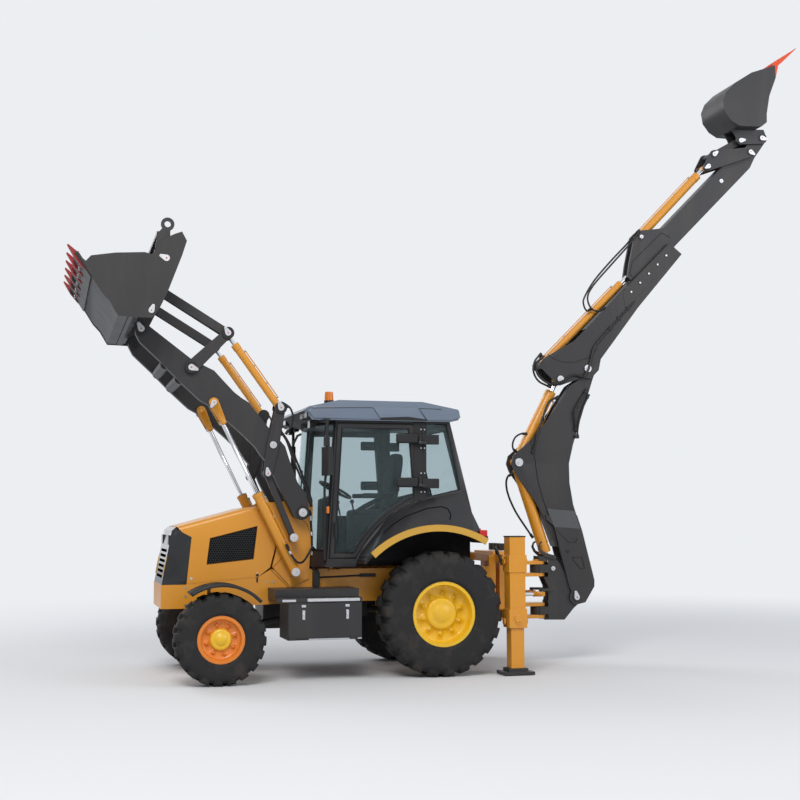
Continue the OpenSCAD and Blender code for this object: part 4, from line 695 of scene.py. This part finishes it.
# Mirrors, grab bars, markers, tail lamps
bars = Kit("cab_grab_bars", "plastic", "chassis", 0.002)
for s in (1, -1):
    bars.tube([P(1238, s * 772, 1216), P(1250, s * 815, 1240), P(1256, s * 830, 1400), P(1262, s * 850, 2000),
               P(1262, s * 900, 2110), P(1262, s * 950, 2150)], 0.013, 10)
    bars.tube([P(1262, s * 958, 2400), P(1262, s * 962, 2480), P(1258, s * 930, 2560), P(1240, s * 800, 2640),
               P(1200, s * 772, 2660)], 0.014, 10)
box_at(bars, 1235, 1292, 930, 985, 2425, 2520)
face = Kit("mirror_faces", "mirror", "chassis")
for s in (1, -1):
    m = Matrix.Rotation(math.radians(12 * s), 3, "Z")
    face.box(P(1223, s * 960 - 75, 2130), P(1227, s * 960 + 75, 2410), rot=m, about=P(1270, s * 960, 2270))
mk = Kit("side_markers", "amber", "chassis", 0.006)
box_at(mk, 1196, 1226, 768, 792, 1725, 1800)
tail = Kit("tail_lamps", "red_lens", "chassis", 0.008)
box_at(tail, -470, -386, 962, 1078, 1476, 1545)
tail = Kit("tail_lamp_bases", "plastic", "chassis", 0.004)
box_at(tail, -474, -396, 956, 1084, 1440, 1480)

# Search trees of the CAD nodes that trim is laid on
TREES = {}


def onto(node, x, z, s, lift):
    """Point on a CAD node's surface, met from the side s at machine x and z."""
    if node not in TREES:
        me = frame["nodes"][node].data
        corners, faces = [v.co.copy() for v in me.vertices], [tuple(q.vertices) for q in me.polygons]
        TREES[node] = BVHTree.FromPolygons(corners, faces)
    hit = TREES[node].ray_cast(P(x, s * 1500, z), Vector((0, -s, 0)))
    return hit[0] + hit[1] * (lift / 1000) if hit[0] else None


def densify(points, step):
    """The outline with points about every step."""
    out = []
    for a, b in zip(points, points[1:]):
        n = max(1, int(math.hypot(b[0] - a[0], b[1] - a[1]) / step))
        out += [(a[0] + (b[0] - a[0]) * k / n, a[1] + (b[1] - a[1]) * k / n) for k in range(n)]
    return out + [points[-1]]


# Fender panel outline: a near black line laid on the cab as painted shade along the panel's edge
fp = Kit("fender_panel_edge_shade", "depth_shade", "chassis")
for s in (1, -1):
    line = densify([(640, 1515), (540, 1600), (387, 1690), (152, 1775), (-20, 1796), (-78, 1770), (-95, 1711),
                    (-70, 1655)], 30)
    pts = [q for q in (onto("cab_frame", x, z, s, 1.0) for x, z in line) if q]
    fp.tube(pts, 0.006, 6)

# Hood: vent mesh, a painted shadow line round its edge, latches, locks
VENT = [(2410, 1466), (1908, 1592), (1949, 1245), (2444, 1193)]


def inside(x, z, poly, margin):
    """Whether a point is inside the outline by the margin."""
    n = len(poly)
    for i in range(n):
        a, b = poly[i], poly[(i + 1) % n]
        ex, ez = b[0] - a[0], b[1] - a[1]
        if (ex * (z - a[1]) - ez * (x - a[0])) / math.hypot(ex, ez) < margin:
            return False
    return True


mesh = Kit("vent_mesh", "smoke", "hood")
HEX, WEB = 15.0, 3.6  # size of the mesh's hexagons and width of its wires
for s in (1, -1):
    row = 0
    z = 1190.0
    while z < 1600:
        x = 1895.0 + (HEX * 0.866 if row % 2 else 0)
        while x < 2460:
            if inside(x, z, VENT, 4):
                for k in range(6):
                    a0, a1 = math.radians(60 * k + 30), math.radians(60 * k + 90)
                    o0, o1 = ((x + HEX * math.cos(a), z + HEX * math.sin(a)) for a in (a0, a1))
                    i0, i1 = ((x + (HEX - WEB) * math.cos(a), z + (HEX - WEB) * math.sin(a)) for a in (a0, a1))
                    q = [mesh.bm.verts.new(P(c[0], s * 450, c[1])) for c in (o0, o1, i1, i0)]
                    mesh.bm.faces.new(q if s < 0 else q[::-1])
            x += HEX * 1.732
        z += HEX * 1.5
        row += 1
# Line round the vent in seam shadow colour: painted shade along the vent's edge
vent_shadow_line = Kit("vent_edge_shadow_lines", "seam", "hood")
vent_shadow_line.lines(455.5, VENT, 0.004, closed=True)
lk = Kit("hood_latches", "plastic", "hood", 0.002)
al = Kit("hood_locks", "alu", "hood", 0.001)
box_at(lk, 1893, 1920, 455, 463, 1062, 1086)
for s in (1, -1):
    al.stud(2604, 1047, s * 450, s * 460, 0.015, 20)
    al.stud(1906, 1096, s * 450, s * 459, 0.008, 12)
lk = Kit("hood_latch_bars", "plastic", "chassis", 0.002)
box_at(lk, 1898, 1915, 449, 459, 1000, 1050)

# Grille: side panels, lamp strips, and a near black sheet behind it as painted shade for the depth round the radiator
gl = Kit("grille_side_panels", "smoke", "hood", 0.003)
for s in (1, -1):
    gl.plate([(2662, 1010), (2880, 1005), (2798, 1500), (2760, 1530), (2690, 1500), (2634, 1470)], s * 451, s * 455)
gy = Kit("grille_lamp_strips", "gold", "hood")
for s in (1, -1):
    gy.tube([P(2897, s * 440, 1070), P(2884, s * 445, 1150), P(2868, s * 447, 1230), P(2848, s * 446, 1310)], 0.006,
            6)
# Thin near black sheet behind the grille: painted shade standing for the dark depth round the radiator
lv = Kit("radiator_depth_shade", "depth_shade", "hood")
lv.box(P(2735, -400, 1020), P(2742, 400, 1440))

# Nose and frame trim, and painted shadow lines in the tower's seams
bolts = Kit("nose_bolts", "steel", "chassis")
for s in (1, -1):
    for z in (770, 860, 950):
        bolts.bolt(P(2660, s * 450, z), (0, s, 0), 0.010, 0.007)
    for x in (1740, 1800):
        bolts.bolt(P(x, s * 450, 1000), (0, s, 0), 0.010, 0.007)
cab_rail = Kit("cab_valve_bars", "plastic", "chassis", 0.003)
for s in (1, -1):
    cab_rail.tube([P(1227, s * 458, 1040), P(1000, s * 462, 1048), P(780, s * 462, 1055)], 0.010, 8)
box_at(cab_rail, 610, 785, 450, 478, 1040, 1075)
box_at(cab_rail, 1240, 1310, 452, 520, 945, 1100)
box_at(cab_rail, 1248, 1302, 455, 515, 1096, 1128)
mounts = Kit("cab_mount_plates", "yellow", "chassis", 0.003)
box_at(mounts, 1000, 1130, 450, 500, 1108, 1124)
# Lines in seam shadow colour: painted shade in the seams of the loader tower and frame
seam_shadow_lines = Kit("tower_seam_shadows", "seam", "chassis")
seam_shadow_lines.lines(470, ((1762, 1133), (1700, 1195), (1648, 1252)), 0.003)
seam_shadow_lines.lines(470, ((1420, 1660), (1370, 1600), (1330, 1480)), 0.003)
seam_shadow_lines.lines(450.5, ((1760, 1128), (1560, 930), (1440, 880), (1320, 930)), 0.003)

# Toolbox: bright strip, latches, step
ts = Kit("toolbox_strips", "alu", "chassis", 0.001)
ts.box(P(927, 1049, 822), P(1479, 1053, 852))
ts.box(P(905, 1038, 432), P(1462, 1044, 446))
ts.box(P(1600, 1049, 822), P(1740, 1053, 846))
tl = Kit("toolbox_latches", "alu", "toolbox_lid", 0.002)
for x in (1519, 1059):
    tl.box(P(x - 14, 1055, 640), P(x + 14, 1061, 735))
    tl.box(P(x - 22, 1055, 764), P(x + 22, 1060, 790))
    tl.cyl(P(x, 1056, 690), P(x, 1066, 690), 0.013, 16)
tr = Kit("toolbox_treads", "plastic", "chassis", 0.001)
for k in range(7):
    tr.box(P(960 + k * 110, 910, 860), P(1030 + k * 110, 1040, 863))

# Stabilizer columns
sc = Kit("column_bosses", "yellow", "chassis", 0.002)
sd = Kit("column_boss_dots", "plastic", "chassis", 0.002)
for s in (1, -1):
    y = COLUMN_Y + 89
    sc.stud(COLUMN_X, 560, s * (y + 10), s * (y + 18), 0.040, 32)
    sc.stud(COLUMN_X, 560, s * (y + 17), s * (y + 24), 0.026, 24)
    sd.stud(COLUMN_X, 560, s * (y + 23), s * (y + 26), 0.007, 12)
    for x in (-700, -934):
        for z in (565, 1205):
            sc.cyl(P(x, s * COLUMN_Y, z), P(x + math.copysign(18, x - COLUMN_X), s * COLUMN_Y, z), 0.034, 20)
    sd.box(P(-912, s * 868, 1468), P(-722, s * 1056, 1480))
    sc.tube([P(-700, s * 1000, 1258), P(-676, s * 1000, 1268), P(-664, s * 1000, 1246), P(-680, s * 1000, 1228)],
            0.008, 8)

# Boom: grey band, recess lines drawn as painted shade, fittings
band = Kit("boom_bands", "band", "boom")
for s in (1, -1):
    band.plate([(-1532, 1780), (-1878, 1749), (-1946, 1544), (-1622, 1566)], s * 119.5, s * 121.2)
# Black lines laid on the boom as painted shade in its recesses
lines = Kit("boom_recess_shade_lines", "plastic", "boom")
for s in (1, -1):
    lines.tube(at_y(s * 120.5, ((-1650, 1530), (-1805, 1384), (-1886, 1383), (-1906, 1426))), 0.005, 6)
    lines.tube(at_y(s * 120.5, ((-1849, 1212), (-1965, 1211), (-1995, 1085), (-1945, 1074), (-1849, 1190))), 0.005, 6,
               closed=True)
    lines.tube(at_y(s * 101, ((-1560, 2880), (-1440, 2690), (-1345, 2560), (-1400, 2350), (-1430, 2120),
                              (-1495, 1880), (-1560, 1720))), 0.005, 6)
    lines.stud(-1785, 1283, s * 119, s * 127, 0.018, 20)
hk = Kit("boom_lock_hooks", "charcoal", "swing_post", 0.002)
for s in (1, -1):
    hk.plate([(-1640, 1195), (-1600, 1190), (-1500, 1225), (-1445, 1275), (-1418, 1335), (-1440, 1385), (-1466, 1402),
              (-1476, 1386), (-1452, 1368), (-1448, 1334), (-1474, 1290), (-1530, 1262), (-1640, 1235)], s * 96,
             s * 108)
    hk.stud(-1620, 1214, s * 94, s * 114, 0.026, 24)

# Hoses and pipes, each along one body
hb = Kit("boom_hoses", "hose", "boom")
hoses(hb, [[(-1374, 104, 2440), (-1400, 112, 2530), (-1421, 112, 2617), (-1504, 112, 2856), (-1575, 110, 3020),
            (-1700, 108, 3090)], [(-1910, 112, 2690), (-1900, 122, 2800), (-1890, 126, 2900), (-1960, 124, 3040),
                                  (-2060, 116, 3180)]], 0.013)
hoses(hb, [[(-1930, 104, 2610), (-1945, 116, 2760), (-1990, 120, 2930), (-2085, 112, 3120)]], 0.010)
ff = Kit("boom_fittings", "plastic", "boom", 0.002)
for s in (1, -1):
    ff.stud(-1374, 2436, s * 99, s * 118, 0.022, 20)
box_at(ff, -1950, -1890, 99, 122, 2600, 2640)
box_at(ff, -1935, -1880, 99, 118, 2700, 2725)
hc = Kit("boom_cylinder_hoses", "hose", "boom_barrel")
hoses(hc, [[(-1172, -40, 2186), (-1124, -62, 2158), (-1110, -90, 2070), (-1142, -100, 1927), (-1232, -100, 1736),
            (-1370, -92, 1530), (-1424, -60, 1440)]], 0.012, both=False)
hc = Kit("crowd_cylinder_hoses", "hose", "crowd_barrel")
hoses(hc, [[(-1196, 40, 2436), (-1152, 44, 2470), (-1146, 48, 2540), (-1180, 50, 2610), (-1250, 50, 2650),
            (-1318, 44, 2652)]], 0.011, both=False)


def barrel_pipe(name, body, base, aim, y, r, start, stop, off_angle, both=True):
    """Thin steel pipe clipped along a cylinder's barrel, off_angle round from its top."""
    pipe = Kit(name, "yellow", body)
    clip = Kit(name + "_ports", "steel", body, 0.001)
    u = toward(base, aim)
    up = Vector((-u.z, 0, u.x))
    for s in (1, -1) if both else (1,):
        a = math.radians(off_angle)
        o = up * math.cos(a) + Vector((0, s * math.sin(a), 0))
        c = Vector((base[0], s * y, base[1]))
        q = [c + u * (start + (stop - start) * t) + o * (r + 15) for t in (0, 0.33, 0.66, 1)]
        pipe.tube([P(*v) for v in [c + u * (start - 14) + o * (r - 6)] + q + [c + u * (stop + 14) + o * (r - 6)]],
                  0.006, 6)
        for t in (start - 14, stop + 14):
            v = c + u * t + o * (r - 4)
            clip.cyl(P(*v), P(*(v + o * 24)), 0.013, 12)
        for t in (0.3, 0.7):
            v = c + u * (start + (stop - start) * t) + o * (r + 2)
            clip.box(P(*(v - Vector((9, 5, 9)))), P(*(v + Vector((9, 5, 9)))))


barrel_pipe("lift_pipes", "lift_barrels", LIFT_BASE, LIFT_ROD, ARM_Y, 55, 140, 840, 20)
barrel_pipe("tilt_pipes", "tilt_barrels", TILT_BASE, TILT_ROD, ARM_Y, 40, 130, 700, 10)
barrel_pipe("jaw_pipes", "jaw_barrels", JAW_BASE, JAW_ROD, 1030, 32, 90, 430, 60)
barrel_pipe("hoe_pipe", "hoe_barrel", HOE_BASE, HOE_ROD, 0, 50, 100, 1040, 180, both=False)
barrel_pipe("boom_pipe", "boom_barrel", APEX, BOOM_ROD, -37, 66, 140, 980, 180, both=False)
barrel_pipe("crowd_pipe", "crowd_barrel", APEX, CROWD_ROD, 37, 60, 140, 840, 0, both=False)
barrel_pipe("extend_pipe", "dipper_outer", dip(-360, 405), dip(1300, 405), 0, 44, 90, 1330, 180, both=False)

rings = Kit("gland_rings", "plastic", "lift_barrels")
u = toward(LIFT_BASE, LIFT_ROD)
for s in (1, -1):
    c = Vector((LIFT_BASE[0], s * ARM_Y, LIFT_BASE[1]))
    rings.cyl(P(*(c + u * 931)), P(*(c + u * 935)), 0.040, 32)

hd = Kit("dipper_hoses", "hose", "dipper_outer")
hoses(hd, [[(-2377, 136, 3936), (-2232, 140, 3786), (-2142, 140, 3661), (-2098, 140, 3505), (-2060, 144, 3400),
            (-2000, 148, 3330), (-1880, 148, 3345), (-1740, 144, 3270), (-1626, 138, 3235)]], 0.014, both=False)
hoses(hd, [[(-2377, -136, 3936), (-2232, -140, 3786), (-2142, -140, 3661), (-2098, -140, 3505), (-2060, -144, 3400)]],
      0.012, both=False)
hoses(hd, [[(-1500, 132, 3560), (-1430, 136, 3480), (-1416, 138, 3380), (-1480, 138, 3290), (-1626, 136, 3222),
            (-1760, 140, 3270)]], 0.013, both=False)
hoses(hd, [[(-1480, 128, 3590), (-1404, 120, 3500), (-1385, 120, 3380), (-1450, 120, 3265), (-1600, 124, 3196)]],
      0.012, both=False)
dp = Kit("dipper_pipes", "plastic", "dipper_outer", 0.002)
for s in (1, -1):
    dp.tube(at_y(s * 134, ((-2690, 4262), (-2545, 4120), (-2442, 4007), (-2377, 3936))), 0.009, 8)
    dp.tube(at_y(s * 134, ((-2660, 4222), (-2530, 4092), (-2430, 3980))), 0.007, 8)
    for x, z in ((-2600, 4172), (-2480, 4048)):
        dp.box(P(x - 22, s * 124, z - 22), P(x + 22, s * 142, z + 22))
wp = Kit("dipper_wear_plates", "charcoal", "dipper_outer", 0.0015)
wb = Kit("dipper_wear_bolts", "alu", "dipper_outer")
for s in (1, -1):
    wp.plate([dip(860, 160), dip(930, 130), dip(1060, 165), dip(1860, 165), dip(1868, 336), dip(1000, 338)], s * 124,
             s * 128)
    for k in range(5):
        x, z = dip(1073 + 166 * k, 262)
        wp.stud(x, z, s * 127, s * 131, 0.022, 20)
        wb.stud(x, z, s * 130, s * 137, 0.013, 6)
dl = Kit("dipper_lines", "plastic", "dipper_outer")
dl.lines(125.5, ((-1560, 3590), (-1640, 3535), (-1733, 3500), (-1890, 3500), (-2079, 3560), (-2200, 3670)), 0.004)
hl = Kit("stick_hoses", "hose", "dipper_inner")
hoses(hl, [[(-2800, 60, 5150), (-2700, 62, 5060), (-2634, 64, 4973), (-2412, 68, 4746), (-2192, 72, 4498),
            (-2062, 76, 4291), (-2050, 78, 4200), (-2095, 70, 4130), (-2160, 62, 4160)],
           [(-2790, 82, 5120), (-2644, 86, 4950), (-2410, 90, 4700), (-2170, 92, 4435), (-2096, 92, 4286),
            (-2139, 92, 4160), (-2236, 94, 4128), (-2318, 96, 4172)]], 0.011, both=False)
ib = Kit("stick_bracket_lines", "plastic", "dipper_inner")
ib.lines(83, (dip(1240, 372), dip(1240, 420), dip(1370, 500), dip(1920, 490), dip(1960, 372)), 0.004)

ha = Kit("arm_hoses", "hose", "arms")
hoses(ha, [[(1690, 585, 2600), (1622, 588, 2500), (1560, 588, 2330), (1480, 588, 2140), (1404, 588, 1980),
            (1362, 588, 1860), (1352, 588, 1800)], [(1700, 535, 2640), (1600, 532, 2500), (1520, 532, 2330),
                                                    (1440, 532, 2140), (1370, 532, 1980), (1340, 532, 1850)]], 0.012)
hr = Kit("crank_hoses", "hose", "rear_cranks")
hoses(hr, [[(1650, 636, 2886), (1596, 650, 2846), (1568, 656, 2760), (1585, 656, 2654), (1640, 640, 2570)]], 0.011)
hv = Kit("tower_hoses", "hose", "chassis")
hoses(hv, [[(1352, 480, 1760), (1337, 482, 1700), (1325, 484, 1512), (1318, 486, 1300), (1300, 486, 1130)],
           [(1625, 640, 1400), (1600, 644, 1330), (1555, 640, 1262), (1505, 630, 1210), (1440, 600, 1215),
            (1370, 560, 1300), (1325, 520, 1360), (1290, 500, 1330), (1285, 490, 1240), (1290, 486, 1140)]], 0.012)
hf = Kit("hose_fittings", "alu", "chassis")
for s in (1, -1):
    for a, b in (((1337, 482, 1700), (1335, 482, 1650)), ((1326, 484, 1530), (1324, 484, 1490)),
                 ((1600, 644, 1330), (1580, 642, 1300)), ((1320, 486, 1320), (1318, 486, 1280))):
        hf.cyl(P(a[0], s * a[1], a[2]), P(b[0], s * b[1], b[2]), 0.017, 10)

# Carriage: valve block and hose bundle between the lugs
cv = Kit("carriage_valves", "plastic", "carriage", 0.004)
for y in (-180, -60, 60, 180):
    cv.box(P(-1010, y - 40, 1300), P(-930, y + 40, 1380))
    cv.cyl(P(-1010, y, 1330), P(-1045, y, 1330), 0.018, 12)
ch = Kit("carriage_hoses", "hose", "carriage")
for y in (-42, -15, 15, 42):
    ch.hose([P(-1040, y, 1345), P(-1110, y, 1388), P(-1190, y, 1382), P(-1250, y, 1310), P(-1272, y, 1200)], 0.011)
rf = Kit("rear_frame_hoses", "hose", "chassis")
hoses(rf, [[(-760, 560, 1280), (-740, 640, 1320), (-700, 760, 1300), (-690, 850, 1240), (-700, 880, 1180)],
           [(-760, 540, 1280), (-720, 620, 1350), (-680, 770, 1330), (-672, 880, 1250), (-690, 905, 1170)]], 0.010)

# Loader bucket: cutting edge bolts
cb = Kit("jaw_bolts", "steel", "bucket_jaw")
for i in range(5):
    y = (i / 5 - 0.4) * TEETH_SPAN * 1000
    for dy in (-60, 60):
        cb.bolt(P(3812, y + dy, 4205), (0.56, 0, -0.83), 0.016, 0.01)


# Seat
def cushion(name, lo, hi, lean=0.0, about=None):
    """Padded block with rounded sides, which stands in for the CAD's seat."""
    bm = bmesh.new()
    c, h = (Vector(lo) + Vector(hi)) / 2, (Vector(hi) - Vector(lo)) / 2
    nu, nv = 48, 24
    rows = []

    def power(v, e):
        return math.copysign(abs(v) ** e, v)
    for j in range(nv + 1):
        v = -math.pi / 2 + math.pi * j / nv
        ring = []
        for i in range(nu):
            u = 2 * math.pi * i / nu
            out = power(math.cos(v), 0.35)
            q = Vector((out * power(math.cos(u), 0.35), out * power(math.sin(u), 0.35), power(math.sin(v), 0.55)))
            ring.append(bm.verts.new(c + Vector((q.x * h.x, q.y * h.y, q.z * h.z))))
        rows.append(ring)
    for j in range(nv):
        for i in range(nu):
            bm.faces.new((rows[j][i], rows[j][(i + 1) % nu], rows[j + 1][(i + 1) % nu], rows[j + 1][i]))
    bmesh.ops.remove_doubles(bm, verts=bm.verts, dist=0.0005)
    if lean:
        bmesh.ops.rotate(bm, verts=bm.verts, cent=about, matrix=Matrix.Rotation(lean, 3, "Y"))
    bmesh.ops.recalc_face_normals(bm, faces=bm.faces)
    me = bpy.data.meshes.new(name)
    bm.to_mesh(me)
    bm.free()
    o = add(me, name, "seat", "chassis", 60, replaces="operator_seat")
    return o


cushion("seat_cushion", P(330, -228, 1650), P(798, 228, 1772))
cushion("seat_back", P(300, -216, 1762), P(410, 216, 2410), math.radians(-9.5), P(380, 0, 1775))
sp = Kit("seat_pedestal", "plastic", "chassis", 0.012)
sp.box(P(400, -170, 1200), P(720, 170, 1655))
for y in (-250, 250):
    sp.box(P(400, y - 30, 1900), P(700, y + 30, 1950))
    sp.cyl(P(420, y, 1780), P(420, y, 1905), 0.018, 12)
for y in (-360, 360):
    sp.box(P(560, y - 60, 1200), P(900, y + 60, 1700))
    sp.cyl(P(820, y, 1700), P(850, y, 1840), 0.010, 10)
    sp.ball(P(850, y, 1855), 0.024, 14)
KITS.remove(sp)
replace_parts(sp.done(), "operator_seat")
for kit in KITS:
    kit.done()

# Stage
PALE = (0.84, 0.86, 0.89, 1)
bpy.ops.mesh.primitive_plane_add(size=400, location=(0, 0, -0.0005))
floor = bpy.context.object
floor.name = "floor"
fm = material("floor", (0.74, 0.75, 0.77), 0.9, 0.01, 0.6, 0.0, spec=0.1)
floor.data.materials.append(fm)
# Far from the machine the floor turns into the backdrop's own colour
nt = fm.node_tree
pos, length = node(nt.nodes, "NewGeometry"), node(nt.nodes, "VectorMath")
length.operation = "LENGTH"
fade = node(nt.nodes, "MapRange")
fade.interpolation_type = "SMOOTHSTEP"
fade.inputs["From Min"].default_value, fade.inputs["From Max"].default_value = 4.0, 15.0
path, glow, far = node(nt.nodes, "LightPath"), node(nt.nodes, "Emission", Color=PALE), node(nt.nodes, "MixShader")
seen = node(nt.nodes, "Math")
seen.operation = "MULTIPLY"
for out, into in ((pos.outputs["Position"], length.inputs[0]), (length.outputs["Value"], fade.inputs["Value"]),
                  (fade.outputs["Result"], seen.inputs[0]), (path.outputs["Is Camera Ray"], seen.inputs[1]),
                  (seen.outputs["Value"], far.inputs[0]), (nt.nodes["Principled BSDF"].outputs[0], far.inputs[1]),
                  (glow.outputs[0], far.inputs[2]), (far.outputs[0], nt.nodes["Material Output"].inputs["Surface"])):
    nt.links.new(out, into)
# The world lights the machine at a plain level and looks pale to camera, glossy and transmission rays
world = bpy.data.worlds.new("world")
bpy.context.scene.world = world
world.use_nodes = True
nt = world.node_tree
light = put(nt.nodes["Background"], Color=(0.92, 0.95, 1.0, 1), Strength=0.52)
seen_bg, mix = node(nt.nodes, "Background", Color=PALE), node(nt.nodes, "MixShader")
path, any_ray, more = node(nt.nodes, "LightPath"), node(nt.nodes, "Math"), node(nt.nodes, "Math")
any_ray.operation = more.operation = "MAXIMUM"
for out, into in ((path.outputs["Is Camera Ray"], any_ray.inputs[0]),
                  (path.outputs["Is Glossy Ray"], any_ray.inputs[1]), (any_ray.outputs[0], more.inputs[0]),
                  (path.outputs["Is Transmission Ray"], more.inputs[1]), (more.outputs[0], mix.inputs[0]),
                  (light.outputs[0], mix.inputs[1]), (seen_bg.outputs[0], mix.inputs[2]),
                  (mix.outputs[0], nt.nodes["World Output"].inputs["Surface"])):
    nt.links.new(out, into)


def area(name, loc, target, size, power, color=(1, 1, 1)):
    """Square lamp aimed at the target."""
    d = bpy.data.lights.new(name, "AREA")
    d.size = size
    d.energy = power
    d.color = color
    o = bpy.data.objects.new(name, d)
    bpy.context.scene.collection.objects.link(o)
    o.location = loc
    o.rotation_euler = (Vector(target) - Vector(loc)).to_track_quat("-Z", "Y").to_euler()


area("key", (6, 12, 13), (0, 0, 2), 7, 1500, (1, 0.97, 0.92))
area("fill", (-10, 9, 7), (0, 0, 2.5), 8, 480, (0.93, 0.96, 1))
area("back", (9, -12, 11), (0, 0, 3), 8, 800)

cam_data = bpy.data.cameras.new("camera")
cam = bpy.data.objects.new("camera", cam_data)
bpy.context.scene.collection.objects.link(cam)
bpy.context.scene.camera = cam
cam_data.sensor_width = 36
cam_data.lens = 58.6
cam_data.clip_end = 200
yaw, pitch, roll = math.radians(15.33), math.radians(5.06), math.radians(0.12)
look = Vector((-math.sin(yaw) * math.cos(pitch), -math.cos(yaw) * math.cos(pitch), math.sin(pitch)))
cam.location = P(4129, 14323, 1704)
q = look.to_track_quat("-Z", "Y")
cam.rotation_euler = (q.to_matrix().to_4x4() @ Matrix.Rotation(-roll, 4, "Z")).to_euler()
bpy.context.scene.view_settings.view_transform = "Standard"
